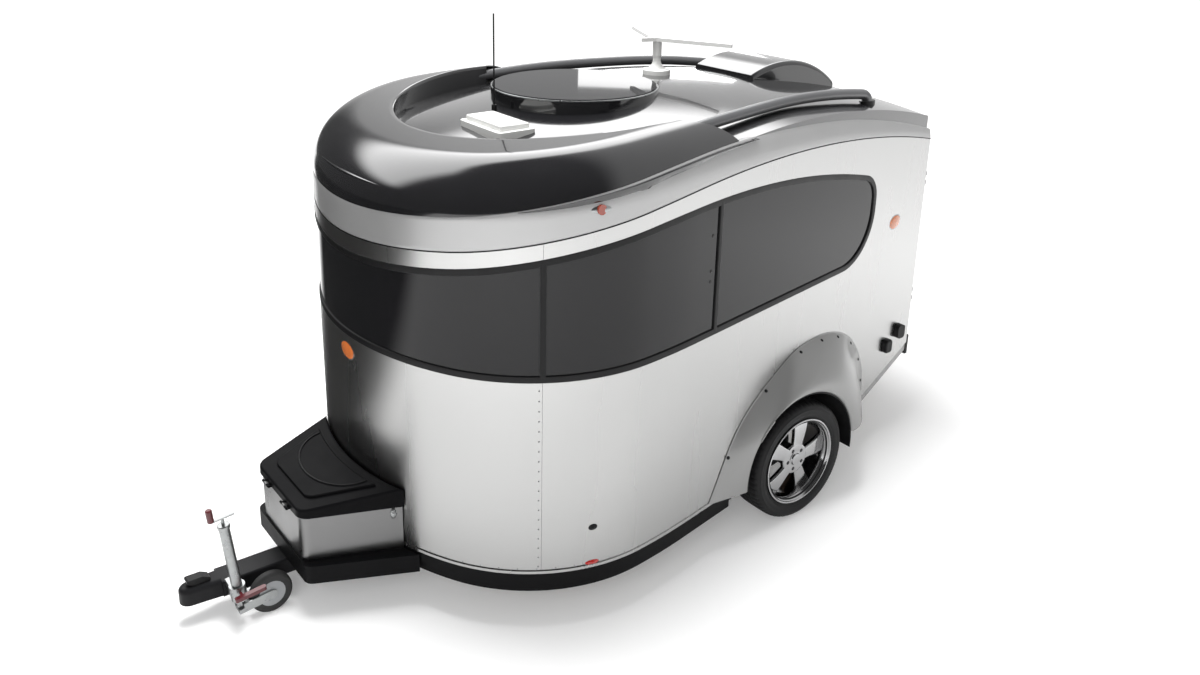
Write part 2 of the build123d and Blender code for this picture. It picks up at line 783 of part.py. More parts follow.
wheel_axis = Axis((axle_x, 0, wheel_z), (0, 1, 0))
tyre_points = [(-offset, radius) for offset, radius in tyre_outline]
tyre_points += [(-tyre_outline[-1][0] + tyre_radius - tyre_outline[-1][1], tyre_radius)]
tyre_points += [(-offset, radius) for offset, radius in reversed(tyre_points)]
half_rim = rim_flange + lip_width
barrel_radius = bead_radius - rim_barrel
rim_points = (
    (-half_rim, barrel_radius), (-half_rim, lip_radius), (-rim_flange, lip_radius),
    (-rim_flange, bead_radius),
    (rim_flange, bead_radius), (rim_flange, lip_radius), (half_rim, lip_radius), (half_rim, barrel_radius),
)
spoke_corners = (
    (0, -spoke_root / 2), (barrel_radius, -spoke_tip / 2), (barrel_radius, spoke_tip / 2),
    (0, spoke_root / 2),
)
for side, word in sides:
    with BuildPart() as hub:
        with BuildSketch(across(side * drum_back_y)):
            with Locations((axle_x, wheel_z)):
                Circle(drum_radius)
        extrude(amount=drum_face_y - drum_back_y, dir=(0, side, 0))
        with BuildSketch(across(side * drum_face_y)):
            with Locations((axle_x, wheel_z)):
                Circle(neck_radius)
        extrude(amount=disc_low_y - drum_face_y, dir=(0, side, 0))
        with BuildSketch(across(side * drum_back_y)):
            with Locations((axle_x, wheel_z)):
                Circle(stub_radius + running_gap)
        extrude(amount=stub_end_y + body_gap - drum_back_y, dir=(0, side, 0), mode=Mode.SUBTRACT)
    finish(hub, f"hub_{word}")

    with BuildPart() as rim:
        add(ring_section(rim_points, side))
        revolve(axis=wheel_axis)
        with BuildSketch(across(side * disc_low_y)):
            with Locations((axle_x, wheel_z)):
                Circle(barrel_radius)
        extrude(amount=disc_high_y - disc_low_y, dir=(0, side, 0))
        with BuildSketch(across(side * disc_low_y)) as windows:
            with Locations((axle_x, wheel_z)):
                Circle(window_high)
                Circle(window_low, mode=Mode.SUBTRACT)
                with PolarLocations(0, spoke_count):
                    Polygon(*spoke_corners, align=None, mode=Mode.SUBTRACT)
            fillet(windows.vertices(), window_round)
        extrude(amount=disc_high_y - disc_low_y, dir=(0, side, 0), mode=Mode.SUBTRACT)
        with BuildSketch(across(side * disc_low_y)):
            with Locations((axle_x, wheel_z)):
                with PolarLocations(bolt_circle_radius, spoke_count, 180 / spoke_count):
                    Circle(bolt_hole)
        extrude(amount=disc_high_y - disc_low_y, dir=(0, side, 0), mode=Mode.SUBTRACT)
        with BuildSketch(across(side * disc_high_y)):
            with Locations((axle_x, wheel_z)):
                Circle(cap_radius_wheel)
        extrude(amount=cap_proud, dir=(0, side, 0))
    finish(rim, f"rim_{word}")

    with BuildPart() as tyre:
        add(ring_section(tyre_points, side))
        revolve(axis=wheel_axis)
    finish(tyre, f"tyre_{word}")

# ---- skirts --------------------------------------------------------------------------------------
skirt_high_z = foot_z - skirt_gap
with BuildPart() as front_skirt:
    with BuildSketch(Plane.XY.offset(skirt_step_z)):
        add(ring_face(skirt_gap, skirt_gap + skirt_depth))
    extrude(amount=skirt_high_z - skirt_step_z)
    with BuildSketch(Plane.XY.offset(skirt_low_z)):
        add(ring_face(skirt_gap + skirt_step, skirt_gap + skirt_depth))
    extrude(amount=skirt_step_z - skirt_low_z)
    with BuildSketch():
        with Locations((ahead(skirt_back_reach), 0)):
            Rectangle(2 * span, span, align=(Align.MAX, Align.CENTER))
    extrude(amount=foot_z, mode=Mode.SUBTRACT)
    with BuildSketch(Plane.XY.offset(skirt_high_z)):
        add(ring_face(2 * skirt_gap, skirt_depth))
        with Locations((ahead(skirt_back_reach), 0)):
            Rectangle(2 * span, span, align=(Align.MAX, Align.CENTER), mode=Mode.SUBTRACT)
    extrude(amount=skirt_gap)
finish(front_skirt, "front_skirt")

with BuildPart() as rear_sills:
    extrude(ring_face(2 * skirt_gap, skirt_depth), amount=body_top_z)
    extrude(sloped_face(sill_height, sill_height, ahead(sill_front_reach)), amount=span, both=True,
            mode=Mode.INTERSECT)
finish(rear_sills, "rear_sills")

# ---- tail wall and doors -------------------------------------------------------------------------
tail_half = skin_y(-tail_wall_reach)
hinge_y = tail_half - wall - hinge_inset
hinge_x = tail_x - hinge_offset - door_gap
leaf_edge_y = hinge_y - hinge_offset
portal_half = leaf_edge_y - portal_lap
tail_foot_line = [(portal_x, 0), (tail_x, 0)]
with BuildPart() as tail_portal:
    extrude(plan_face(wall), amount=body_top_z)
    extrude(side_face(foot_line(0, portal_x), seam_crown), amount=span, both=True, mode=Mode.INTERSECT)
with BuildPart() as tail_head:
    add(roof_under_form)
    extrude(side_face(tail_foot_line, seam_crown), amount=span, both=True, mode=Mode.SUBTRACT)
    with BuildSketch():
        with Locations((tail_x, 0)):
            Rectangle(portal_depth, 2 * span, align=(Align.MIN, Align.CENTER))
    extrude(amount=body_top_z, mode=Mode.INTERSECT)
with BuildPart() as tail_wall:
    add(tail_portal.part)
    add(tail_head.part)
    with BuildSketch(Plane.XY.offset(door_low_z + portal_lap)):
        with Locations((portal_x, 0)):
            Rectangle(2 * span, 2 * portal_half)
    extrude(amount=door_high_z - door_low_z - 2 * portal_lap, mode=Mode.SUBTRACT)
finish(tail_wall, "tail_wall")

door_x = tail_x - door_gap
for side, word in sides:
    door_turn = side * hinge_y
    with BuildPart() as tail_door:
        with BuildSketch(Plane.XY.offset(door_low_z)):
            with Locations((door_x - door / 2, side * (door_gap + leaf_edge_y) / 2)):
                Rectangle(door, leaf_edge_y - door_gap)
        extrude(amount=door_high_z - door_low_z)
        fillet(tail_door.edges().filter_by(Axis.X), portal_lap)
        for hinge_z in hinge_zs:
            with BuildSketch(Plane.XY.offset(hinge_z - knuckle / 2)):
                with Locations((hinge_x, door_turn)):
                    Circle(hinge_radius)
                with Locations((hinge_x, side * (leaf_edge_y + hinge_y) / 2)):
                    Rectangle(hinge_plate, hinge_y - leaf_edge_y)
                with Locations((hinge_x, door_turn)):
                    Circle(hinge_pin + running_gap, mode=Mode.SUBTRACT)
            extrude(amount=knuckle)
        with BuildSketch(Plane.YZ.offset(door_x)) as door_window:
            with Locations((side * (door_gap + leaf_edge_y) / 2, door_glass_z)):
                RectangleRounded(door_glass_width, door_glass_height, door_glass_round)
        extrude(amount=-door, mode=Mode.SUBTRACT)
    finish(tail_door, f"tail_door_{word}")

    with BuildPart() as door_pane:
        with BuildSketch(Plane.YZ.offset(door_x - (door - glass) / 2)):
            with Locations((side * (door_gap + leaf_edge_y) / 2, door_glass_z)):
                RectangleRounded(door_glass_width, door_glass_height, door_glass_round)
        extrude(amount=-glass)
    finish(door_pane, f"door_pane_{word}")

handle_x = door_x - door
with BuildPart() as door_handle:
    with BuildSketch(Plane.YZ.offset(handle_x)):
        with Locations((handle_y, handle_z)):
            RectangleRounded(handle_width, handle_length, handle_width / 3)
    extrude(amount=ahead(-tail_reach) - handle_x)
finish(door_handle, "door_handle")

with BuildPart() as door_hinges:
    for side, word in sides:
        for hinge_z in hinge_zs:
            for step in (-1, 1):
                low_z = hinge_z + step * (knuckle + knuckle_gap) - knuckle / 2
                with BuildSketch(Plane.XY.offset(low_z)):
                    with Locations((hinge_x, side * hinge_y)):
                        Circle(hinge_radius)
                    with Locations((hinge_x, side * hinge_y)):
                        Rectangle(tail_x - hinge_x, hinge_plate, align=(Align.MIN, Align.CENTER))
                    with Locations((tail_x - hinge_plate / 2, side * (hinge_y + tail_half) / 2)):
                        Rectangle(hinge_plate, tail_half - hinge_y)
                extrude(amount=knuckle)
            with BuildSketch(Plane.XY.offset(hinge_z)):
                with Locations((hinge_x, side * hinge_y)):
                    Circle(hinge_pin)
            extrude(amount=knuckle, both=True)
finish(door_hinges, "door_hinges")

sill_beam_high_z = door_low_z - 2 * door_gap
with BuildPart() as tail_beam:
    with BuildSketch(Plane.XY.offset(sill_beam_low_z)):
        with Locations((tail_x, 0)):
            Rectangle(sill_beam_depth, 2 * (tail_half - skirt_gap), align=(Align.MAX, Align.CENTER))
    extrude(amount=sill_beam_high_z - sill_beam_low_z)
    fillet(tail_beam.edges().filter_by(Axis.Z).group_by(Axis.X)[0], sill_beam_depth / 2)
finish(tail_beam, "tail_beam")

beam_x = tail_x - sill_beam_depth
with BuildPart() as rear_lamps:
    for lamp_y in lamp_ys:
        with BuildSketch(Plane.YZ.offset(beam_x)):
            with Locations((lamp_y, (sill_beam_low_z + sill_beam_high_z) / 2)):
                Circle(lamp_radius)
        extrude(amount=-lamp_proud)
finish(rear_lamps, "rear_lamps")

# ---- front box and its lid -----------------------------------------------------------------------
def box_form(grow, rear_gap):
    """Plan of the front box, grown by this much all round and this far from the nose."""
    return box_face(box_front_reach + grow, box_front_half + grow, box_rear_half + grow, box_round + grow,
                    rear_gap)


with BuildPart() as front_box:
    with BuildSketch(Plane.XY.offset(box_low_z)):
        add(box_form(0, nose_gap))
    extrude(amount=box_high_z - box_low_z)
    with BuildSketch(Plane.XY.offset(box_low_z + box_wall)):
        add(box_form(-box_wall, nose_gap + box_wall))
    extrude(amount=box_high_z - box_low_z, mode=Mode.SUBTRACT)
    for side, word in sides:
        with BuildSketch(Plane.XY.offset(lid_axis_z)):
            with Locations((ahead(box_front_reach), side * lid_hinge_y)):
                Rectangle(lid_axis_out, lid_knuckle, align=(Align.MIN, Align.CENTER))
        extrude(amount=lid_hinge_radius / 2, both=True)
        with BuildSketch(across(side * lid_hinge_y)):
            with Locations((ahead(box_front_reach) + lid_axis_out, lid_axis_z)):
                Circle(lid_hinge_radius)
        extrude(amount=lid_knuckle / 2, both=True)
        with BuildSketch(across(side * lid_hinge_y)):
            with Locations((ahead(box_front_reach) + lid_axis_out, lid_axis_z)):
                Circle(lid_pin)
        extrude(amount=lid_knuckle, both=True)
finish(front_box, "front_box")

lid_low_z = box_high_z - lid_drop
lid_front_x = ahead(box_front_reach) + lid_over
lid_rear_x = ahead(box_rear_reach)


def lid_side(low_z, drop):
    """Side view of the lid between low_z and its sloped top lowered by drop."""
    slope = (lid_rear_z - lid_front_z) / (lid_front_x - lid_rear_x)
    with BuildSketch(Plane.XZ) as view:
        with BuildLine():
            Polyline(
                (lid_front_x + lid_over, low_z),
                (lid_front_x + lid_over, lid_front_z - slope * lid_over - drop),
                (lid_rear_x - lid_over, lid_rear_z + slope * lid_over - drop),
                (lid_rear_x - lid_over, low_z),
                close=True,
            )
        make_face()
    return view.sketch


with BuildPart() as lid_form:
    extrude(box_form(lid_over, nose_gap), amount=body_top_z)
    extrude(lid_side(lid_low_z, 0), amount=span, both=True, mode=Mode.INTERSECT)
    fillet(lid_form.faces().sort_by(Axis.Z)[-1].edges(), lid_edge)
with BuildPart() as lid_panel:
    extrude(box_face(box_front_reach - lid_step, box_front_half - lid_step, box_rear_half - lid_step,
                     box_round, nose_gap + lid_step), amount=body_top_z)
    extrude(lid_side(box_high_z, -lid_step_height), amount=span, both=True, mode=Mode.INTERSECT)
    fillet(lid_panel.faces().sort_by(Axis.Z)[-1].edges(), lid_step_height / 2)
with BuildPart() as lid_hollow:
    extrude(box_form(-lid_land, nose_gap + lid_land), amount=body_top_z)
    extrude(lid_side(lid_low_z, lid_skin), amount=span, both=True, mode=Mode.INTERSECT)
with BuildPart() as box_lid:
    add(lid_form.part)
    add(lid_panel.part)
    add(lid_hollow.part, mode=Mode.SUBTRACT)
    with BuildSketch(Plane.XY.offset(lid_low_z)):
        add(box_form(lid_play, 0))
    extrude(amount=box_high_z + lid_rest - lid_low_z, mode=Mode.SUBTRACT)
    for side, word in sides:
        with BuildSketch(Plane.XY.offset(lid_low_z)):
            with Locations((lid_front_x, side * lid_hinge_y)):
                Rectangle(2 * lid_over, lid_knuckle + 2 * knuckle_gap)
        extrude(amount=lid_axis_z + 2 * lid_hinge_radius - lid_low_z, mode=Mode.SUBTRACT)
        for step in (-1, 1):
            lug_y = side * lid_hinge_y + step * (lid_knuckle + knuckle_gap)
            with BuildSketch(Plane.XY.offset(lid_low_z)):
                with Locations((lid_front_x - lid_play, lug_y)):
                    Rectangle(ahead(box_front_reach) + lid_axis_out - lid_front_x + lid_play, lid_knuckle,
                              align=(Align.MIN, Align.CENTER))
            extrude(amount=lid_hinge_radius)
            with BuildSketch(across(lug_y)):
                with Locations((ahead(box_front_reach) + lid_axis_out, lid_axis_z)):
                    Circle(lid_hinge_radius)
            extrude(amount=lid_knuckle / 2, both=True)
        with BuildSketch(across(side * lid_hinge_y)):
            with Locations((ahead(box_front_reach) + lid_axis_out, lid_axis_z)):
                Circle(lid_pin + running_gap)
        extrude(amount=2 * lid_knuckle, both=True, mode=Mode.SUBTRACT)
finish(box_lid, "box_lid")

with BuildPart() as box_tray:
    with BuildSketch(Plane.XY.offset(rail_z)):
        add(box_face(tray_front_reach, tray_front_half, tray_rear_half, tray_round, nose_gap))
    extrude(amount=box_low_z - rail_z)
    with BuildSketch(Plane.XY.offset(rail_z)):
        add(box_face(tray_front_reach - liner, tray_front_half - liner, tray_rear_half - liner,
                     tray_round - liner, nose_gap + liner))
    extrude(amount=box_low_z - rail_z - liner, mode=Mode.SUBTRACT)
finish(box_tray, "box_tray")

# ---- coupling ------------------------------------------------------------------------------------
ball_x = ahead(coupling_reach - head_nose)
with BuildPart() as coupling_head:
    with BuildSketch(Plane.XY.offset(head_low_z)):
        with BuildLine():
            Polyline((ball_x, head_nose), (ahead(bar_front_reach), head_width / 2),
                     (ahead(bar_front_reach), -head_width / 2), (ball_x, -head_nose), close=True)
        make_face()
        with Locations((ball_x, 0)):
            Circle(head_nose)
    extrude(amount=head_high_z - head_low_z)
    fillet(coupling_head.faces().sort_by(Axis.Z)[-1].edges().filter_by(Axis.Y, reverse=True), head_edge)
    with BuildSketch(Plane.XY.offset(head_low_z)):
        with Locations((ball_x, 0)):
            Circle(ball_radius)
    extrude(amount=socket_mouth, mode=Mode.SUBTRACT)
    with Locations((ball_x, 0, head_low_z + socket_mouth)):
        Sphere(ball_radius, mode=Mode.SUBTRACT)
finish(coupling_head, "coupling_head")

with BuildPart() as coupling_handle:
    with BuildSketch(Plane.XZ):
        with BuildLine():
            Polyline(
                (ahead(handle_low_reach), head_high_z),
                (ahead(handle_low_reach), head_high_z + coupling_handle_height / 2),
                (ahead(handle_low_reach) + coupling_handle_height, head_high_z + coupling_handle_height),
                (ahead(handle_high_reach), head_high_z + coupling_handle_height),
                (ahead(handle_high_reach), head_high_z + coupling_handle_height / 2),
                (ahead(handle_high_reach) - coupling_handle_height, head_high_z),
                close=True,
            )
        make_face()
    extrude(amount=coupling_handle_width / 2, both=True)
    fillet(coupling_handle.edges().filter_by(Axis.Y), head_edge / 3)
finish(coupling_handle, "coupling_handle")

# ---- jockey wheel --------------------------------------------------------------------------------
lean = radians(jockey_lean)
lift_axis = (sin(lean), 0, cos(lean))


def along(distance):
    """Plane square to the jockey tube, this far up its axis from the floor. X points ahead."""
    x = ahead(jockey_reach) + distance * lift_axis[0]
    return Plane(origin=(x, jockey_y, distance * lift_axis[2]), x_dir=(cos(lean), 0, -sin(lean)),
                 z_dir=lift_axis)


tube_bore = inner_tube + running_gap
with BuildPart() as jockey_tube:
    with BuildSketch(along(tube_low)):
        Circle(outer_tube)
        Circle(tube_bore, mode=Mode.SUBTRACT)
    extrude(amount=tube_high - tube_low)
    with BuildSketch(along(tube_high)):
        Circle(outer_tube + fork_gap)
    extrude(amount=cap_height)
    fillet(jockey_tube.faces().sort_by(Axis.Z)[-1].edges(), fork_gap)
    with BuildSketch(along(tube_high + cap_height)):
        Circle(crank_radius)
    extrude(amount=crank_rise)
    crank_plane = along(tube_high + cap_height + crank_rise)
    with BuildSketch(crank_plane):
        SlotCenterToCenter(crank_arm, 2 * crank_radius)
    extrude(amount=crank_radius)
finish(jockey_tube, "jockey_tube")

with BuildPart() as jockey_clamp:
    with BuildSketch(along(clamp_low + outer_tube)):
        Circle(clamp_radius)
        with Locations((0, -(jockey_y - bar_width / 2) / 2)):
            Rectangle(clamp_ear, jockey_y - bar_width / 2)
    extrude(amount=clamp_height)
    with BuildSketch(Plane.XY):
        with Locations((ahead(jockey_reach), 0)):
            Rectangle(2 * span, bar_width)
    extrude(amount=body_top_z, mode=Mode.SUBTRACT)
    with BuildSketch(along(0)):
        Circle(outer_tube)
    extrude(amount=tube_high, mode=Mode.SUBTRACT)
finish(jockey_clamp, "jockey_clamp")

with BuildPart() as jockey_grips:
    with BuildSketch(along(tube_high + cap_height + crank_rise + crank_radius)):
        with Locations((crank_arm / 2, 0)):
            Circle(knob_radius)
    extrude(amount=knob_length)
    fillet(jockey_grips.faces().sort_by(Axis.Z)[-1].edges(), knob_radius / 2)
    with BuildSketch(along(clamp_low + outer_tube + clamp_height / 2)):
        with Locations((0, clamp_radius)):
            Rectangle(lever_stalk, lever_out - clamp_radius, align=(Align.CENTER, Align.MIN))
        with Locations((-clamp_radius, lever_out)):
            RectangleRounded(lever_length, lever_width, lever_round)
    extrude(amount=clamp_radius / 2)
finish(jockey_grips, "jockey_grips")

fork_half = jockey_wheel_width / 2 + fork_gap
hub_x = along(inner_low).origin.X - jockey_trail
with BuildPart() as jockey_stem:
    with BuildSketch(along(inner_low + foot_block)):
        Circle(inner_tube)
    extrude(amount=inner_high - inner_low - foot_block)
    with BuildSketch(along(inner_low + foot_block / 2)):
        Rectangle(2 * inner_tube, 2 * (fork_half + fork_plate))
    extrude(amount=foot_block / 2)
    for side, word in sides:
        with BuildSketch(across(jockey_y + side * fork_half)):
            with BuildLine():
                Line((hub_x, jockey_wheel_radius), (along(inner_low).origin.X, inner_low + foot_block))
            trace(line_width=foot_block)
            with Locations((hub_x, jockey_wheel_radius)):
                Circle(foot_block / 2)
        extrude(amount=fork_plate, dir=(0, side, 0))
    with BuildSketch(across(jockey_y)):
        with Locations((hub_x, jockey_wheel_radius)):
            Circle(pin_radius)
    extrude(amount=fork_half, both=True)
finish(jockey_stem, "jockey_stem")

with BuildPart() as jockey_rim:
    with BuildSketch(across(jockey_y)):
        with Locations((hub_x, jockey_wheel_radius)):
            Circle(jockey_hub_radius)
            Circle(pin_radius + running_gap, mode=Mode.SUBTRACT)
    extrude(amount=jockey_wheel_width / 2, both=True)
finish(jockey_rim, "jockey_rim")

with BuildPart() as jockey_tyre:
    with BuildSketch(across(jockey_y)):
        with Locations((hub_x, jockey_wheel_radius)):
            Circle(jockey_wheel_radius)
    extrude(amount=jockey_wheel_width / 2, both=True)
    fillet(jockey_tyre.edges(), knob_radius)
    with BuildSketch(across(jockey_y)):
        with Locations((hub_x, jockey_wheel_radius)):
            Circle(jockey_hub_radius)
    extrude(amount=jockey_wheel_width, both=True, mode=Mode.SUBTRACT)
finish(jockey_tyre, "jockey_tyre")

# ---- roof gear -----------------------------------------------------------------------------------
ahead_of_end = (ahead(end_in[0]) + (end_in[1] * (end_in[0] - end_out[0]) / (end_out[1] - end_in[1])), 0)
with BuildPart() as roof_rails:
    for side, word in sides:
        knots = [(ahead(reach), side * y, z) for reach, y, z in grab_points]
        foot = (ahead(grab_foot[0]), side * grab_foot[1], grab_foot[2] - rail_tube)
        with BuildLine() as rail_line:
            bow = ThreePointArc(*knots)
            TangentArc(bow @ 1, foot, tangent=bow % 1)
        with BuildSketch(Plane(origin=knots[0], z_dir=bow % 0)):
            Circle(rail_tube)
        sweep(path=rail_line.line)
        with BuildSketch():
            with BuildLine():
                Polyline(
                    ahead_of_end,
                    (ahead(end_out[0]), side * end_out[1]),
                    (front_x, side * end_out[1]),
                    (front_x, 0),
                    close=True,
                )
            make_face()
        extrude(amount=body_top_z, mode=Mode.SUBTRACT)
    add(roof_skin_form, mode=Mode.SUBTRACT)
finish(roof_rails, "roof_rails")

with BuildPart() as rail_feet:
    for side, word in sides:
        with BuildSketch(Plane.XY.offset(foot_pad_z)):
            with Locations((ahead(grab_foot[0]), side * grab_foot[1])):
                Ellipse(foot_pad_length / 2, foot_pad_width / 2)
        extrude(amount=-foot_pad_length)
    add(roof_skin_form, mode=Mode.SUBTRACT)
    add(roof_rails.part, mode=Mode.SUBTRACT)
finish(rail_feet, "rail_feet")

with BuildPart() as roof_vent:
    with BuildSketch(Plane.XY.offset(seam_z)):
        with Locations((ahead(vent_reach), vent_y)):
            Rectangle(vent_length, vent_width)
    extrude(amount=vent_z - seam_z)
    fillet(roof_vent.faces().sort_by(Axis.Z)[-1].edges(), vent_edge)
    with BuildSketch(Plane.XY.offset(seam_z)):
        with Locations((ahead(vent_reach), vent_y)):
            RectangleRounded(vent_length + 2 * vent_base, vent_width + 2 * vent_base, vent_base)
    extrude(amount=vent_flange_z - seam_z)
    add(roof_skin_form, mode=Mode.SUBTRACT)
finish(roof_vent, "roof_vent")

with BuildPart() as whip_antenna:
    with BuildSketch(Plane.XY.offset(seam_z)):
        with Locations((ahead(whip_reach), whip_y)):
            Circle(whip_base_radius)
    extrude(amount=vent_flange_z + whip_base_height - seam_z, taper=whip_draft)
    add(roof_skin_form, mode=Mode.SUBTRACT)
    with BuildSketch(Plane.XY.offset(vent_flange_z + whip_base_height)):
        with Locations((ahead(whip_reach), whip_y)):
            Circle(whip_radius)
    extrude(amount=whip_height)
finish(whip_antenna, "whip_antenna")

stem_x = ahead(antenna_reach)
right_wing = [
    (-antenna_tail, 0),
    (-antenna_sweep - antenna_wing, antenna_wing / 2 - antenna_span / 2),
    (-antenna_sweep, -antenna_span / 2),
    (antenna_tail / 2, -antenna_stem_radius),
]
wing_points = right_wing + [(antenna_nose, 0)] + [(x, -y) for x, y in reversed(right_wing[1:])]
with BuildPart() as tv_antenna:
    with BuildSketch(Plane.XZ.offset(-antenna_y)):
        with BuildLine():
            Line((stem_x, seam_z), (stem_x + antenna_base_radius, seam_z))
            Line((stem_x + antenna_base_radius, seam_z), (stem_x + antenna_base_radius, antenna_flare_z))
            TangentArc((stem_x + antenna_base_radius, antenna_flare_z),
                       (stem_x + antenna_stem_radius, antenna_flare_z + antenna_base_radius),
                       tangent=(-1, 0))
            Line((stem_x + antenna_stem_radius, antenna_flare_z + antenna_base_radius),
                 (stem_x + antenna_stem_radius, antenna_z))
            Line((stem_x + antenna_stem_radius, antenna_z), (stem_x, antenna_z))
            Line((stem_x, antenna_z), (stem_x, seam_z))
        make_face()
    revolve(axis=Axis((stem_x, antenna_y, 0), (0, 0, 1)))
    add(roof_skin_form, mode=Mode.SUBTRACT)
    with BuildSketch(Plane.XY.offset(antenna_z - antenna_wing / 2)):
        with Locations((stem_x, antenna_y)):
            Polygon(*wing_points, align=None)
    extrude(amount=antenna_wing)
finish(tv_antenna, "tv_antenna")

# ---- roof pod, lamps and inlets ------------------------------------------------------------------
with BuildPart() as roof_pod:
    with BuildSketch(Plane.XZ):
        with BuildLine():
            ThreePointArc(
                (ahead(pod_rear_reach), pod_tail_z),
                (ahead(pod_crown_reach), pod_high_z),
                (ahead(pod_front_reach), pod_front_z),
            )
            Polyline(
                (ahead(pod_front_reach), pod_front_z),
                (ahead(pod_front_reach), seam_z),
                (ahead(pod_rear_reach), seam_z),
                (ahead(pod_rear_reach), pod_tail_z),
            )
        make_face()
    extrude(amount=pod_width / 2, both=True)
    fillet(roof_pod.faces().sort_by(Axis.Z)[-1].edges().filter_by(GeomType.CIRCLE), pod_round)
    add(roof_skin_form, mode=Mode.SUBTRACT)
finish(roof_pod, "roof_pod")

with BuildPart() as marker_lamps:
    for side, word in sides:
        lens_y = side * shoulder_y(lens_reach)
        with BuildSketch(across(lens_y)):
            with Locations((ahead(lens_reach), lens_z)):
                Circle(lens_radius)
        extrude(amount=lens_proud, dir=(0, side, 0))
        with BuildSketch(across(lens_y)):
            with Locations((ahead(lens_reach), lens_z)):
                Circle(lens_radius)
        extrude(amount=-wall / 2, dir=(0, side, 0))
    add(cap_skin, mode=Mode.SUBTRACT)
finish(marker_lamps, "marker_lamps")

with BuildPart() as service_inlets:
    for reach, inlet_z in inlet_places:
        with BuildSketch(across(skin_y(reach) + inlet_proud)):
            with Locations((ahead(reach), inlet_z)):
                RectangleRounded(inlet_width, inlet_height, inlet_width / 3)
        extrude(amount=2 * inlet_proud, dir=(0, -1, 0))
    fillet(service_inlets.faces().sort_by(Axis.Y)[-1].edges(), inlet_round)
    extrude(body_plan, amount=body_top_z, mode=Mode.SUBTRACT)
finish(service_inlets, "service_inlets")
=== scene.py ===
"""Small travel caravan: smooth skins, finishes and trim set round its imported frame.

Metres. +X runs ahead to the coupling, +Y to the left side and +Z up.
"""

import json
import logging
import math
from dataclasses import dataclass
from enum import Enum

import bpy
import numpy as np
from mathutils import Matrix, Vector


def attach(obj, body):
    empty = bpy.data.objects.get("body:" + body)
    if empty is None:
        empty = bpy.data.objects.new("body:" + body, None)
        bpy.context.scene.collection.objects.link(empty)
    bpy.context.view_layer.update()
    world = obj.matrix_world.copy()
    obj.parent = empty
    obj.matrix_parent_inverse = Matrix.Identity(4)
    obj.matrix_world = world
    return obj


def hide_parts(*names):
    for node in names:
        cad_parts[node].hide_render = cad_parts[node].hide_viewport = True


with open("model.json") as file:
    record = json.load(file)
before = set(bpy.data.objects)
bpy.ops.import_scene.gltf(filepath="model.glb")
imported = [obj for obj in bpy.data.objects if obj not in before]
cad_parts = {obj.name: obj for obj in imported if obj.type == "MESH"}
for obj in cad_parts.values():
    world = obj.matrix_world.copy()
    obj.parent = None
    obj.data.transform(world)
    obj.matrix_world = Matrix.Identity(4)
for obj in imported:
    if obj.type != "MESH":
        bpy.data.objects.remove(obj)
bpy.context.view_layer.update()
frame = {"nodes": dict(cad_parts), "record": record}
LOG = logging.getLogger("caravan")
TRAILER = "trailer"
AXLE_X = -0.770
WHEEL_Z = 0.3255
SIDES = (("left", 1), ("right", -1))
Array = np.ndarray
Pair = tuple[float, float]
Triple = tuple[float, float, float]
Ramp = tuple[float, float, float, float]
Profile = tuple[Pair, ...]


def ahead(reach: float) -> float:
    """Gives X of a place this far ahead of the axle."""
    return AXLE_X + reach


# ---- finishes ------------------------------------------------------------------------------------
class Slot(Enum):
    """Material slots that the pieces take their finish from."""

    SKIN = "aluminium_skin"
    GALVANISED = "galvanised_steel"
    BLACK_STEEL = "black_steel"
    MATTE_BLACK = "matte_black"
    GLOSS_BLACK = "gloss_black"
    BAND = "band_grey"
    RAIL = "rail_grey"
    FENDER = "fender_grey"
    GLASS = "tinted_glass"
    WHITE = "white_plastic"
    AMBER = "amber_lens"
    RED_LENS = "red_lens"
    RED_GRIP = "red_grip"
    WHEEL_GREY = "wheel_grey"
    ALLOY = "alloy"
    CAST = "cast_hub"
    TYRE = "road_tyre"
    RUBBER = "black_rubber"
    FLOOR = "floor_board"


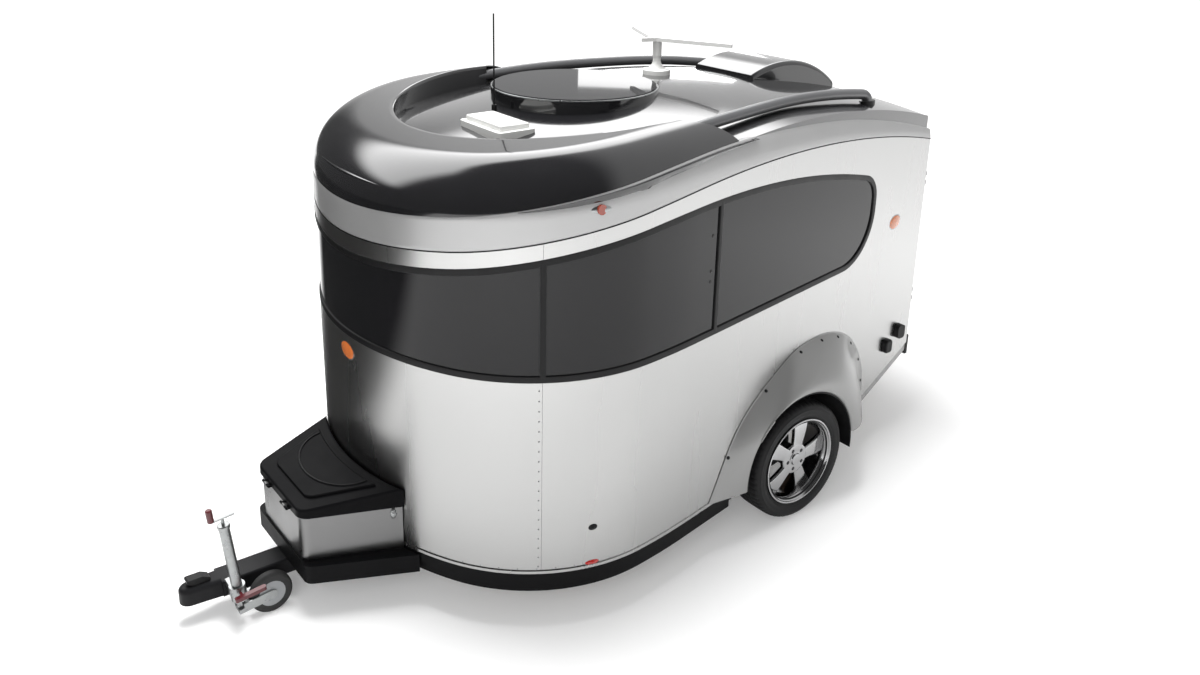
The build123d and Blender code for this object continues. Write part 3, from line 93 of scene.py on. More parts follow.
@dataclass(frozen=True)
class Finish:
    """A surface finish with mottled colour, uneven gloss and a fine relief.

    The pattern is noise on object coordinates, stretched by grain, so it stays on the piece.
    """

    slot: Slot
    color: Triple
    rough: float = 0.5
    metal: float = 0.0
    coat: float = 0.0
    clear: float = 0.0
    shine: float = 0.5
    mottle: float = 0.06
    mottle_scale: float = 3.0
    rough_spread: float = 0.10
    coat_rough: float = 0.04
    relief: float = 0.0
    relief_scale: float = 300.0
    grain: Triple = (1.0, 1.0, 1.0)
    name: str = ""

    def build(self) -> bpy.types.Material:
        """Builds the node material.

        Returns:
            The finished material.
        """
        material = bpy.data.materials.new(self.name or self.slot.value)
        material.use_nodes = True
        tree = material.node_tree
        nodes, links = tree.nodes, tree.links
        shader = nodes["Principled BSDF"]
        shader.inputs["Metallic"].default_value = self.metal
        shader.inputs["Coat Weight"].default_value = self.coat
        shader.inputs["Coat Roughness"].default_value = self.coat_rough
        shader.inputs["Transmission Weight"].default_value = self.clear
        shader.inputs["Specular IOR Level"].default_value = self.shine
        place = nodes.new("ShaderNodeTexCoord")
        grain = nodes.new("ShaderNodeMapping")
        grain.inputs["Scale"].default_value = self.grain
        links.new(place.outputs["Object"], grain.inputs["Vector"])
        broad = nodes.new("ShaderNodeTexNoise")
        broad.inputs["Scale"].default_value = self.mottle_scale
        broad.inputs["Detail"].default_value = 5.0
        links.new(grain.outputs["Vector"], broad.inputs["Vector"])
        tint = nodes.new("ShaderNodeMix")
        tint.data_type = "RGBA"
        low = [max(c * (1.0 - self.mottle), 0.0) for c in self.color]
        high = [min(c * (1.0 + self.mottle), 1.0) for c in self.color]
        tint.inputs["A"].default_value = (*low, 1.0)
        tint.inputs["B"].default_value = (*high, 1.0)
        links.new(broad.outputs["Fac"], tint.inputs["Factor"])
        links.new(tint.outputs["Result"], shader.inputs["Base Color"])
        gloss = nodes.new("ShaderNodeMapRange")
        gloss.inputs["From Min"].default_value = 0.3
        gloss.inputs["From Max"].default_value = 0.7
        gloss.inputs["To Min"].default_value = max(self.rough - self.rough_spread / 2, 0.02)
        gloss.inputs["To Max"].default_value = min(self.rough + self.rough_spread / 2, 1.0)
        links.new(broad.outputs["Fac"], gloss.inputs["Value"])
        links.new(gloss.outputs["Result"], shader.inputs["Roughness"])
        if self.relief:
            fine = nodes.new("ShaderNodeTexNoise")
            fine.inputs["Scale"].default_value = self.relief_scale
            fine.inputs["Detail"].default_value = 3.0
            links.new(grain.outputs["Vector"], fine.inputs["Vector"])
            bump = nodes.new("ShaderNodeBump")
            bump.inputs["Strength"].default_value = 0.5
            bump.inputs["Distance"].default_value = self.relief
            links.new(fine.outputs["Fac"], bump.inputs["Height"])
            links.new(bump.outputs["Normal"], shader.inputs["Normal"])
        return material


FINISHES = (
    Finish(Slot.SKIN, (0.45, 0.45, 0.446), rough=0.27, metal=1.0, mottle=0.035, mottle_scale=2.4,
           rough_spread=0.06, relief=0.00005, relief_scale=60.0, grain=(1.0, 1.0, 0.12)),
    Finish(Slot.GALVANISED, (0.34, 0.35, 0.35), rough=0.30, metal=0.95, mottle=0.18, mottle_scale=30.0,
           relief=0.0003, relief_scale=240.0),
    Finish(Slot.BLACK_STEEL, (0.010, 0.010, 0.011), rough=0.46, shine=0.16, mottle=0.2, mottle_scale=9.0,
           relief=0.0002),
    Finish(Slot.MATTE_BLACK, (0.008, 0.008, 0.0085), rough=0.42, shine=0.2, mottle=0.25, mottle_scale=7.0,
           relief=0.0004, relief_scale=420.0),
    Finish(Slot.GLOSS_BLACK, (0.010, 0.010, 0.011), rough=0.16, coat=1.0, mottle=0.2, mottle_scale=2.0,
           rough_spread=0.06),
    Finish(Slot.BAND, (0.40, 0.40, 0.40), rough=0.33, metal=0.45, coat=0.4, mottle=0.06, mottle_scale=4.0),
    Finish(Slot.RAIL, (0.115, 0.116, 0.12), rough=0.36, metal=0.5, coat=0.2, mottle=0.08, mottle_scale=8.0,
           relief=0.0002),
    Finish(Slot.FENDER, (0.28, 0.28, 0.277), rough=0.40, metal=0.55, coat=0.25, mottle=0.05, mottle_scale=4.0,
           relief=0.0002, relief_scale=120.0),
    Finish(Slot.GLASS, (0.012, 0.012, 0.013), rough=0.04, clear=0.15, shine=0.24, mottle=0.15,
           mottle_scale=1.2, rough_spread=0.03),
    Finish(Slot.WHITE, (0.66, 0.66, 0.645), rough=0.35, coat=0.3, mottle=0.03, mottle_scale=6.0,
           relief=0.0002),
    Finish(Slot.AMBER, (0.62, 0.16, 0.035), rough=0.18, coat=0.6, mottle=0.12, mottle_scale=40.0,
           relief=0.0003, relief_scale=260.0),
    Finish(Slot.RED_LENS, (0.42, 0.015, 0.012), rough=0.15, coat=0.6, mottle=0.15, mottle_scale=40.0,
           relief=0.0004, relief_scale=220.0),
    Finish(Slot.RED_GRIP, (0.085, 0.010, 0.014), rough=0.32, coat=0.3, mottle=0.2, mottle_scale=30.0),
    Finish(Slot.WHEEL_GREY, (0.30, 0.31, 0.32), rough=0.4, mottle=0.1, mottle_scale=20.0, relief=0.0002),
    Finish(Slot.ALLOY, (0.42, 0.42, 0.424), rough=0.16, metal=1.0, mottle=0.06, mottle_scale=10.0,
           rough_spread=0.10),
    Finish(Slot.CAST, (0.045, 0.045, 0.047), rough=0.62, metal=0.6, mottle=0.25, mottle_scale=25.0,
           relief=0.0006, relief_scale=160.0),
    Finish(Slot.TYRE, (0.011, 0.011, 0.0115), rough=0.62, shine=0.3, mottle=0.25, mottle_scale=12.0,
           relief=0.0005, relief_scale=260.0),
    Finish(Slot.RUBBER, (0.022, 0.022, 0.022), rough=0.66, mottle=0.25, mottle_scale=20.0,
           relief=0.0004, relief_scale=260.0),
    Finish(Slot.FLOOR, (0.16, 0.115, 0.075), rough=0.55, mottle=0.35, mottle_scale=3.0, relief=0.0004,
           relief_scale=60.0, grain=(0.3, 5.0, 5.0)),
)


SPECIAL_FINISHES = {
    "front_box": Finish(Slot.SKIN, (0.20, 0.20, 0.20), rough=0.30, metal=1.0, mottle=0.05, mottle_scale=4.0,
                        rough_spread=0.08, relief=0.0002, relief_scale=80.0, name="brushed_box"),
    "box_lid": Finish(Slot.MATTE_BLACK, (0.005, 0.005, 0.0055), rough=0.42, shine=0.04, mottle=0.25,
                      mottle_scale=7.0, relief=0.0003, relief_scale=420.0, name="lid_black"),
    "box_tray": Finish(Slot.MATTE_BLACK, (0.006, 0.006, 0.0065), rough=0.45, shine=0.06, mottle=0.25,
                       mottle_scale=7.0, relief=0.0003, relief_scale=420.0, name="tray_black"),
    "marker_lamps": Finish(Slot.AMBER, (0.30, 0.045, 0.022), rough=0.18, coat=0.6, mottle=0.12,
                           mottle_scale=40.0, relief=0.0003, relief_scale=260.0, name="marker_red"),
    "skylight_pane": Finish(Slot.GLASS, (0.006, 0.006, 0.007), rough=0.04, shine=0.06, mottle=0.15,
                            mottle_scale=1.2, rough_spread=0.03, name="skylight_glass"),
    "front_skirt": Finish(Slot.MATTE_BLACK, (0.005, 0.005, 0.0055), rough=0.45, shine=0.08, mottle=0.25,
                          mottle_scale=7.0, relief=0.0003, relief_scale=420.0, name="skirt_black"),
}


class Palette:
    """Builds each finish once and hands it out by slot."""

    def __init__(self, finishes: tuple[Finish, ...]) -> None:
        """Builds the materials.

        Args:
            finishes: One finish for each slot.
        """
        self.materials = {finish.slot: finish.build() for finish in finishes}

    def dress_frame(self) -> None:
        """Gives every node of the frame the finish of its own slot."""
        for entry in frame["record"]["subparts"]:
            node = frame["nodes"][entry["node"]]
            node.data.materials.clear()
            special = SPECIAL_FINISHES.get(entry["node"])
            plain = self.materials[Slot(entry["material_slot"])]
            node.data.materials.append(special.build() if special else plain)


# ---- mesh making ---------------------------------------------------------------------------------
def grid_faces(rows: int, columns: int, close_rows: bool = False, close_columns: bool = False) -> Array:
    """Gives the quads of a grid of rows by columns vertices, numbered row by row.

    Args:
        rows: Number of rows of vertices.
        columns: Number of vertices in a row.
        close_rows: Whether the last row joins the first.
        close_columns: Whether the last column joins the first.

    Returns:
        An array of quads, four vertex numbers each.
    """
    row = np.arange(rows if close_rows else rows - 1)[:, None]
    column = np.arange(columns if close_columns else columns - 1)[None, :]
    next_row = (row + 1) % rows
    next_column = (column + 1) % columns
    corners = (row * columns + column, row * columns + next_column,
               next_row * columns + next_column, next_row * columns + column)
    return np.stack([np.broadcast_to(c, (row.size, column.size)).ravel() for c in corners], axis=1)


@dataclass
class Sheet:
    """A grid of points, with which of its edges are joined to each other and which way it faces."""

    points: Array
    close_rows: bool = False
    close_columns: bool = False
    turned: bool = False

    def faces(self) -> Array:
        """Gives the sheet's quads.

        Returns:
            The quads, four vertex numbers each.
        """
        rows, columns = self.points.shape[:2]
        quads = grid_faces(rows, columns, self.close_rows, self.close_columns)
        return quads[:, ::-1] if self.turned else quads


def make_piece(name: str, sheets: list[Sheet], palette: Palette, slot: Slot, body: str = TRAILER,
               sharp: float = 40.0) -> bpy.types.Object:
    """Makes one object from sheets, smooth except where it turns by more than sharp degrees.

    Args:
        name: Name of the piece.
        sheets: The grids that make it up.
        palette: The finishes.
        slot: The slot that names its finish.
        body: Name of the body it rides on.
        sharp: Angle in degrees past which an edge stays sharp.

    Returns:
        The new object.
    """
    points = np.concatenate([sheet.points.reshape(-1, 3) for sheet in sheets])
    starts = np.cumsum([0] + [sheet.points.size // 3 for sheet in sheets[:-1]])
    quads = np.concatenate([sheet.faces() + start for sheet, start in zip(sheets, starts)])
    mesh = bpy.data.meshes.new(name)
    mesh.vertices.add(len(points))
    mesh.vertices.foreach_set("co", points.astype(np.float32).ravel())
    mesh.loops.add(quads.size)
    mesh.loops.foreach_set("vertex_index", quads.astype(np.int32).ravel())
    mesh.polygons.add(len(quads))
    mesh.polygons.foreach_set("loop_start", np.arange(0, quads.size, 4, dtype=np.int32))
    mesh.polygons.foreach_set("loop_total", np.full(len(quads), 4, dtype=np.int32))
    mesh.update(calc_edges=True)
    mesh.validate()
    mesh.polygons.foreach_set("use_smooth", np.ones(len(mesh.polygons), dtype=bool))
    mesh.set_sharp_from_angle(angle=math.radians(sharp))
    mesh.materials.append(palette.materials[slot])
    piece = bpy.data.objects.new(name, mesh)
    bpy.context.scene.collection.objects.link(piece)
    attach(piece, body)
    LOG.info("%s: %d faces on %s", name, len(quads), body)
    return piece


def thicken(piece: bpy.types.Object, wall: float) -> None:
    """Gives a sheet piece a wall on its inner side, with the sheet's own edges kept sharp.

    Args:
        piece: The piece.
        wall: Thickness of the wall.
    """
    mesh = piece.data
    edge_of_loop = np.empty(len(mesh.loops), dtype=np.int32)
    mesh.loops.foreach_get("edge_index", edge_of_loop)
    sharp = np.empty(len(mesh.edges), dtype=bool)
    mesh.edges.foreach_get("use_edge_sharp", sharp)
    rim = np.bincount(edge_of_loop, minlength=len(mesh.edges)) == 1
    mesh.edges.foreach_set("use_edge_sharp", sharp | rim)
    solid = piece.modifiers.new("wall", "SOLIDIFY")
    solid.thickness = wall
    solid.offset = -1.0


def revolve(profile: Array, centre: Triple, side: int, turns: int) -> Sheet:
    """Turns a profile of (offset along Y, radius) points about an axis along Y.

    A point is centre + (r cos t, side * o, r sin t), for the profile's o and r and the turn t.

    Args:
        profile: Points as offset and radius.
        centre: Middle of the axis.
        side: 1 to keep the offsets, -1 to mirror them.
        turns: Number of steps round the axis.

    Returns:
        The closed sheet.
    """
    turn = np.linspace(0.0, 2.0 * np.pi, turns, endpoint=False)[:, None]
    offset, radius = profile[None, :, 0], profile[None, :, 1]
    points = np.stack([
        centre[0] + radius * np.cos(turn),
        np.broadcast_to(centre[1] + side * offset, (turns, profile.shape[0])),
        centre[2] + radius * np.sin(turn),
    ], axis=2)
    return Sheet(points, close_rows=True, turned=side < 0)


def spread(*stops: tuple[float, int]) -> Array:
    """Gives values running through stops in even steps.

    Args:
        stops: Each a value and the number of steps up to it.

    Returns:
        The values.
    """
    parts = [np.array([stops[0][0]])]
    parts += [np.linspace(low[0], high[0], high[1] + 1)[1:] for low, high in zip(stops, stops[1:])]
    return np.concatenate(parts)


# ---- body form -----------------------------------------------------------------------------------
def arc_height(x: Array, crown: Triple) -> Array:
    """Gives the height of an arc along the body: top - R + sqrt(R squared - (x - x0) squared).

    Args:
        x: Places along the body.
        crown: The arc's highest place as a reach, its height there and its radius.

    Returns:
        The heights.
    """
    reach, top, radius = crown
    return top - radius + np.sqrt(np.maximum(radius ** 2 - (x - ahead(reach)) ** 2, 0.0))


@dataclass(frozen=True)
class BodyForm:
    """Plan and heights of the body. The plan is a nose arc, shoulder and side arcs and a straight taper.

    A run is the length along the plan from the middle of the nose, positive on the left side. The
    seam, the gutter and the cap are arcs along the body: a reach, the height there and a radius.
    """

    nose_reach: float = 2.083
    nose_radius: float = 1.312
    nose_turn: float = math.radians(30.0)
    shoulder_radius: float = 0.804
    shoulder_turn: float = math.radians(95.0)
    side_radius: float = 3.360
    side_turn: float = math.radians(100.5)
    tail_reach: float = 1.350
    foot_z: float = 0.290
    kick_reach: float = -0.700
    tail_foot_z: float = 0.520
    split_reach: float = 1.620
    skylight_reach: float = 0.780
    seam: Triple = (0.200, 1.985, 7.000)
    gutter: Triple = (0.380, 2.115, 6.200)
    cap: Triple = (0.500, 2.232, 8.300)
    cap_edge: float = 0.235
    roof_reach: float = 0.350
    roof_z: float = 2.240
    roof_radius: float = 6.000
    roof_crown: float = 3.300
    roof_inset: float = 0.030

    @property
    def tail_x(self) -> float:
        """X of the walls' rear edge."""
        return ahead(-self.tail_reach)

    def stations(self) -> tuple[Array, Array, Array, Array]:
        """Gives the runs where the arcs start and the arcs' centres and radii.

        Returns:
            The runs, the centres' X and Y, and the radii.
        """
        radii = np.array([self.nose_radius, self.shoulder_radius, self.side_radius])
        turns = np.array([0.0, self.nose_turn, self.shoulder_turn, self.side_turn])
        runs = np.concatenate([[0.0], np.cumsum(radii * np.diff(turns))])
        centre_x = [ahead(self.nose_reach) - self.nose_radius]
        centre_y = [0.0]
        for index in (1, 2):
            step = radii[index - 1] - radii[index]
            centre_x.append(centre_x[-1] + step * math.cos(turns[index]))
            centre_y.append(centre_y[-1] + step * math.sin(turns[index]))
        return runs, np.array(centre_x), np.array(centre_y), radii

    def plan(self, run: Array, inset: Array | float = 0.0) -> tuple[Array, Array, Array, Array]:
        """Gives points of the plan and their outward directions.

        On an arc the point is centre + (R - inset)(cos t, sin t), with t its turn, and on the taper
        it runs straight on from the last arc. The right side mirrors the left.

        Args:
            run: Lengths along the plan.
            inset: How far inside the skin.

        Returns:
            X, Y and the two parts of the outward direction.
        """
        runs, centre_x, centre_y, radii = self.stations()
        turns = np.array([0.0, self.nose_turn, self.shoulder_turn])
        size = np.abs(run)
        side = np.where(np.asarray(run) < 0.0, -1.0, 1.0)
        piece = np.clip(np.searchsorted(runs[1:3], size, side="right"), 0, 2)
        on_taper = np.maximum(size - runs[3], 0.0)
        turn = turns[piece] + (np.minimum(size, runs[3]) - runs[piece]) / radii[piece]
        out_x, out_y = np.cos(turn), np.sin(turn)
        x = centre_x[piece] + (radii[piece] - inset) * out_x - on_taper * math.sin(self.side_turn)
        y = centre_y[piece] + (radii[piece] - inset) * out_y + on_taper * math.cos(self.side_turn)
        return x, y * side, out_x, out_y * side

    def last_run(self) -> float:
        """Gives the run at the walls' rear edge.

        Returns:
            The run.
        """
        runs = self.stations()[0]
        x = self.plan(runs[3:4])[0][0]
        return float(runs[3] + (x - self.tail_x) / math.sin(self.side_turn))

    def run_at(self, x: Array | float) -> Array:
        """Gives the left side's run at a place along the body."""
        table = np.linspace(0.0, self.last_run(), 4001)
        return np.interp(-np.asarray(x, dtype=float), -self.plan(table)[0], table)

    def inset_at(self, x: Array, y: Array) -> tuple[Array, Array]:
        """Gives how far places lie inside the skin, and the forward part of the outward direction there.

        In an arc's sector the inset is R less the distance to its centre. Beside the taper it is
        the distance to that line.

        Args:
            x: Places along the body.
            y: Places across it.

        Returns:
            The insets, and the forward parts of the outward directions.
        """
        runs, centre_x, centre_y, radii = self.stations()
        y = np.abs(y)
        turns = (self.nose_turn, self.shoulder_turn, self.side_turn)
        inset = np.zeros_like(x)
        out_x = np.zeros_like(x)
        found = np.zeros(x.shape, dtype=bool)
        for index, last in enumerate(turns):
            dx, dy = x - centre_x[index], y - centre_y[index]
            far = np.hypot(dx, dy)
            here = (np.arctan2(dy, dx) <= last) & ~found
            inset = np.where(here, radii[index] - far, inset)
            out_x = np.where(here, dx / np.maximum(far, 1e-9), out_x)
            found |= here
        end_x, end_y, nx, ny = (value[0] for value in self.plan(runs[3:4]))
        inset = np.where(found, inset, (end_x - x) * nx + (end_y - y) * ny)
        return inset, np.where(found, out_x, nx)

    def foot(self, x: Array) -> Array:
        """Gives the height of the walls' lower edge, level and then rising to the tail.

        Args:
            x: Places along the body.

        Returns:
            The heights.
        """
        kick_x = ahead(self.kick_reach)
        slope = (self.tail_foot_z - self.foot_z) / (kick_x - self.tail_x)
        return self.foot_z + slope * np.maximum(kick_x - x, 0.0)

    def cap_height(self, x: Array, y: Array) -> Array:
        """Gives the height of the rounded cap over the plan.

        The height is base + (top - base) sqrt(1 - (1 - i / e) squared) for an inset i under the
        edge's radius e, and the top arc further in.

        Args:
            x: Places along the body.
            y: Places across it.

        Returns:
            The heights.
        """
        inset, out_x = self.inset_at(x, y)
        top = arc_height(x, self.cap)
        base = arc_height(x - (self.cap_edge - inset) * out_x, self.cap) - self.cap_edge
        lack = np.clip(1.0 - inset / self.cap_edge, 0.0, 1.0)
        return base + (top - base) * np.sqrt(1.0 - lack ** 2)

    def cap_inset(self, run: Array, z: Array) -> Array:
        """Gives the inset at which the cap reaches a height, by a few rounds of substitution.

        Args:
            run: Lengths along the plan.
            z: The height at each.

        Returns:
            The insets.
        """
        base = arc_height(self.plan(run, self.cap_edge)[0], self.cap) - self.cap_edge
        inset = np.zeros(np.broadcast(run, z).shape)
        for _ in range(6):
            top = arc_height(self.plan(run, inset)[0], self.cap)
            lift = np.clip((z - base) / (top - base), 0.0, 1.0)
            inset = self.cap_edge * (1.0 - np.sqrt(1.0 - lift ** 2))
        return inset

    def roof(self, x: Array, y: Array) -> Array:
        """Gives the roof's height: a crown from side to side turned about an axis under the roof.

        Args:
            x: Places along the body.
            y: Places across it.

        Returns:
            The heights.
        """
        crown = self.roof_z - self.roof_crown + np.sqrt(self.roof_crown ** 2 - y ** 2)
        low = self.roof_z - self.roof_radius
        return low + np.sqrt((crown - low) ** 2 - (x - ahead(self.roof_reach)) ** 2)


@dataclass(frozen=True)
class WindowBand:
    """Outline of the wrap-around window, as low and high edges from the nose back to its tail end."""

    form: BodyForm
    belt_z: float = 1.220
    tail_reach: float = -0.765
    crown: Triple = (0.580, 1.880, 5.000)
    low_round: float = 0.300
    high_round: float = 0.160

    def edges(self, inset: float) -> tuple[Array, Array]:
        """Gives the low and the high edge as (x, z) points, with equal counts at any inset.

        Each is straight or along the crown arc, then a corner arc, then straight to the middle of
        the tail end.

        Args:
            inset: How far the edges lie inside the outline.

        Returns:
            The low edge and the high edge.
        """
        reach, top, radius = self.crown
        back = ahead(self.tail_reach) + inset
        low = self.belt_z + inset
        radius -= inset
        low_round, high_round = self.low_round - inset, self.high_round - inset
        low_x = back + low_round
        x_low = self.form.plan(spread((0.0, 1), (float(self.form.run_at(low_x)), 90)))[0]
        turn = np.linspace(-np.pi / 2, -np.pi, 25)[1:]
        corner_low = np.stack([low_x + low_round * np.cos(turn),
                               low + low_round + low_round * np.sin(turn)], 1)
        high_x = back + high_round
        sink = top - inset - radius
        high_z = sink + math.sqrt((radius - high_round) ** 2 - (high_x - ahead(reach)) ** 2)
        lean = math.atan2(high_z - sink, high_x - ahead(reach))
        touch_x = ahead(reach) + radius * math.cos(lean)
        x_high = self.form.plan(spread((0.0, 1), (float(self.form.run_at(touch_x)), 90)))[0]
        z_high = sink + np.sqrt(radius ** 2 - (x_high - ahead(reach)) ** 2)
        turn = np.linspace(lean, np.pi, 17)[1:]
        corner_high = np.stack([high_x + high_round * np.cos(turn), high_z + high_round * np.sin(turn)], 1)
        middle = (low + low_round + high_z) / 2
        step = np.linspace(0.0, 1.0, 5)[1:, None]
        rise = np.array([[back, low + low_round]]) * (1 - step) + np.array([[back, middle]]) * step
        fall = np.array([[back, high_z]]) * (1 - step) + np.array([[back, middle]]) * step
        low_edge = np.concatenate([np.stack([x_low, np.full_like(x_low, low)], 1), corner_low, rise])
        high_edge = np.concatenate([np.stack([x_high, z_high], 1), corner_high, fall])
        return low_edge, high_edge

    def span_at(self, x: Array, inset: float) -> tuple[Array, Array]:
        """Gives the low and the high edge's heights at places ahead of the window's tail end.

        Args:
            x: Places along the body.
            inset: How far inside the outline.

        Returns:
            The low heights and the high heights.
        """
        low, high = self.edges(inset)
        straight = 4
        return (np.interp(x, low[:-straight][::-1, 0], low[:-straight][::-1, 1]),
                np.interp(x, high[:-straight][::-1, 0], high[:-straight][::-1, 1]))


@dataclass(frozen=True)
class Walls:
    """The aluminium nose and side walls, cut for the window and the wheel arches."""

    form: BodyForm
    band: WindowBand
    wall: float = 0.040
    arch_radius: float = 0.398
    joint: float = 0.0012
    arch_margin: float = 0.020
    tail_ease: float = 0.300
    step_behind: float = 0.0006
    tail_margin: float = 0.010

    def arch(self, x: Array) -> Array:
        """Gives the height of the wheel opening, a circle about the axle, and 0 beside it."""
        gap = self.arch_radius ** 2 - (x - AXLE_X) ** 2
        return np.where(gap > 0.0, WHEEL_Z + np.sqrt(np.maximum(gap, 0.0)), 0.0)

    def strips(self, run: Array, with_arch: bool) -> list[Sheet]:
        """Makes the wall below and above the window along a stretch of the plan.

        Each strip runs straight up from its low line to its high line. Behind the window both meet
        at the height of its tail end's middle.

        Args:
            run: Runs of the columns.
            with_arch: Whether the low line follows the wheel opening.

        Returns:
            The low and the high strip.
        """
        x, y, _, _ = self.form.plan(run)
        low_edge, high_edge = self.band.edges(0.0)
        window_low, window_high = self.band.span_at(x, 0.0)
        behind = x < low_edge[-1, 0]
        window_low = np.where(behind, low_edge[-1, 1], window_low)
        window_high = np.where(behind, high_edge[-1, 1], window_high)
        foot = self.form.foot(x)
        if with_arch:
            foot = np.maximum(foot, self.arch(x))
        seam = arc_height(x, self.form.seam)
        sheets = []
        for low, high, rows in ((foot, window_low, 10), (window_high, seam, 5)):
            share = np.linspace(0.0, 1.0, rows)[:, None]
            z = low + (high - low) * share
            points = np.stack(np.broadcast_arrays(x, y, z), axis=2)
            sheets.append(Sheet(points, turned=bool(run[0] > run[-1])))
        return sheets

    def build(self, palette: Palette) -> None:
        """Builds the three wall panels.

        The side's columns are evenly spaced ahead of the wheel opening, follow a sine over it and
        close up toward the window's tail end, where one more stands just behind the edge.

        Args:
            palette: The finishes.
        """
        split = float(self.form.run_at(ahead(self.form.split_reach)))
        last = self.form.last_run()
        back = float(self.form.run_at(self.band.edges(0.0)[0][-1, 0]))
        axle = float(self.form.run_at(AXLE_X))
        half_arch = self.arch_radius / math.sin(self.form.side_turn)
        ease = np.sin(np.linspace(-np.pi / 2, np.pi / 2, 49))
        side = np.concatenate([
            np.linspace(split, axle - half_arch - self.arch_margin, 60), axle + half_arch * ease,
            back + self.tail_ease * (np.sin(np.linspace(0.0, np.pi / 2, 24)) - 1.0),
            [back + self.step_behind],
            np.linspace(back + self.tail_margin, last, 24),
        ])
        side = np.unique(np.round(side, 6))
        nose = np.linspace(-split + self.joint, split - self.joint, 97)
        panels = (("nose", nose, False), ("left", side, True), ("right", -side[::-1], True))
        for word, run, with_arch in panels:
            piece = make_piece(f"{word}_wall", self.strips(run, with_arch), palette, Slot.SKIN)
            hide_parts(f"wall_{word}")
            thicken(piece, self.wall)


@dataclass(frozen=True)
class Glazing:
    """The dark panes of the window band with their black frame and bars."""

    form: BodyForm
    band: WindowBand
    glass_depth: float = 0.006
    glass: float = 0.006
    lap: float = 0.022
    gap: float = 0.006
    divider_reach: float = 0.672
    bar_lap: float = 0.012
    half_bar: float = 0.013
    frame_section: Profile = (
        (0.0, 0.004), (0.0, -0.0004), (0.0012, -0.0018), (0.004, -0.0020), (0.026, -0.0020),
        (0.0288, -0.0014), (0.030, 0.0004), (0.030, 0.006), (0.030, 0.038), (0.0, 0.038),
    )
    bar_section: Profile = (
        (-1.0, 0.012), (-1.0, -0.0002), (-0.86, -0.0018), (-0.6, -0.0022), (0.6, -0.0022),
        (0.86, -0.0018), (1.0, -0.0002), (1.0, 0.012),
    )

    def loop(self, inset: float, depth: float) -> Array:
        """Gives the closed line round the whole window at an inset and a depth under the skin.

        The line runs back along the left low edge, up the tail end, forward along the high edge and
        the same way round the right side.

        Args:
            inset: How far inside the outline.
            depth: How far under the skin.

        Returns:
            The points of the line.
        """
        low, high = self.band.edges(inset)
        left = np.concatenate([low, high[-2::-1]])
        right = np.concatenate([high[1:], low[-2:0:-1]])
        flat = np.concatenate([left, right])
        run = self.form.run_at(flat[:, 0])
        run[len(left):] *= -1.0
        x, y, _, _ = self.form.plan(run, depth)
        return np.stack([x, y, flat[:, 1]], axis=1)

    def frame(self, palette: Palette) -> bpy.types.Object:
        """Builds the frame: its section carried round the window, and the bars over the panes' joints.

        Args:
            palette: The finishes.

        Returns:
            The piece.
        """
        rows = np.stack([self.loop(float(i), float(d)) for i, d in self.frame_section], axis=1)
        sheets = [Sheet(rows, close_rows=True, close_columns=True, turned=True)]
        across, depth = np.array(self.bar_section).T
        for x_bar in (ahead(self.form.split_reach), ahead(self.divider_reach)):
            low, high = self.band.span_at(np.array([x_bar]), self.bar_lap)
            z = np.linspace(low[0], high[0], 12)[:, None]
            for side in (1, -1):
                run = side * float(self.form.run_at(x_bar)) + across * self.half_bar * side
                x, y, _, _ = self.form.plan(run, depth)
                grid = np.stack(np.broadcast_arrays(x, y, z), axis=2)
                sheets.append(Sheet(grid, close_columns=True, turned=side > 0))
        piece = make_piece("window_surround", sheets, palette, Slot.MATTE_BLACK)
        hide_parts("window_frame")
        return piece

    def pane(self, name: str, stretches: list[Array], node: str, palette: Palette) -> bpy.types.Object:
        """Builds panes between the low and the high edge along stretches of the plan.

        Args:
            name: Name of the piece.
            stretches: Runs of the columns of each pane.
            node: The node that it stands for.
            palette: The finishes.

        Returns:
            The piece.
        """
        sheets = []
        for run in stretches:
            x, y, _, _ = self.form.plan(run, self.glass_depth)
            low, high = self.band.span_at(self.form.plan(run)[0], self.lap)
            share = np.linspace(0.0, 1.0, 9)[:, None]
            z = low + (high - low) * share
            points = np.stack(np.broadcast_arrays(x, y, z), axis=2)
            sheets.append(Sheet(points, turned=bool(run[0] > run[-1])))
        piece = make_piece(name, sheets, palette, Slot.GLASS)
        thicken(piece, self.glass)
        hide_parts(node)
        return piece

    def build(self, palette: Palette) -> None:
        """Builds the frame and all the panes.

        Args:
            palette: The finishes.
        """
        self.frame(palette)
        split = float(self.form.run_at(ahead(self.form.split_reach)))
        divider = float(self.form.run_at(ahead(self.divider_reach)))
        back = float(self.form.run_at(ahead(self.band.tail_reach) + self.lap))
        ease = np.sin(np.linspace(0.0, np.pi / 2, 60))
        front = np.linspace(split + self.gap, divider - self.gap, 60)
        rear = divider + self.gap + (back - divider - self.gap) * ease
        nose = np.linspace(-split + self.gap, split - self.gap, 97)
        self.pane("nose_glass", [nose], "panes_nose", palette)
        self.pane("left_glass", [front, rear], "panes_left", palette)
        self.pane("right_glass", [-front[::-1], -rear[::-1]], "panes_right", palette)


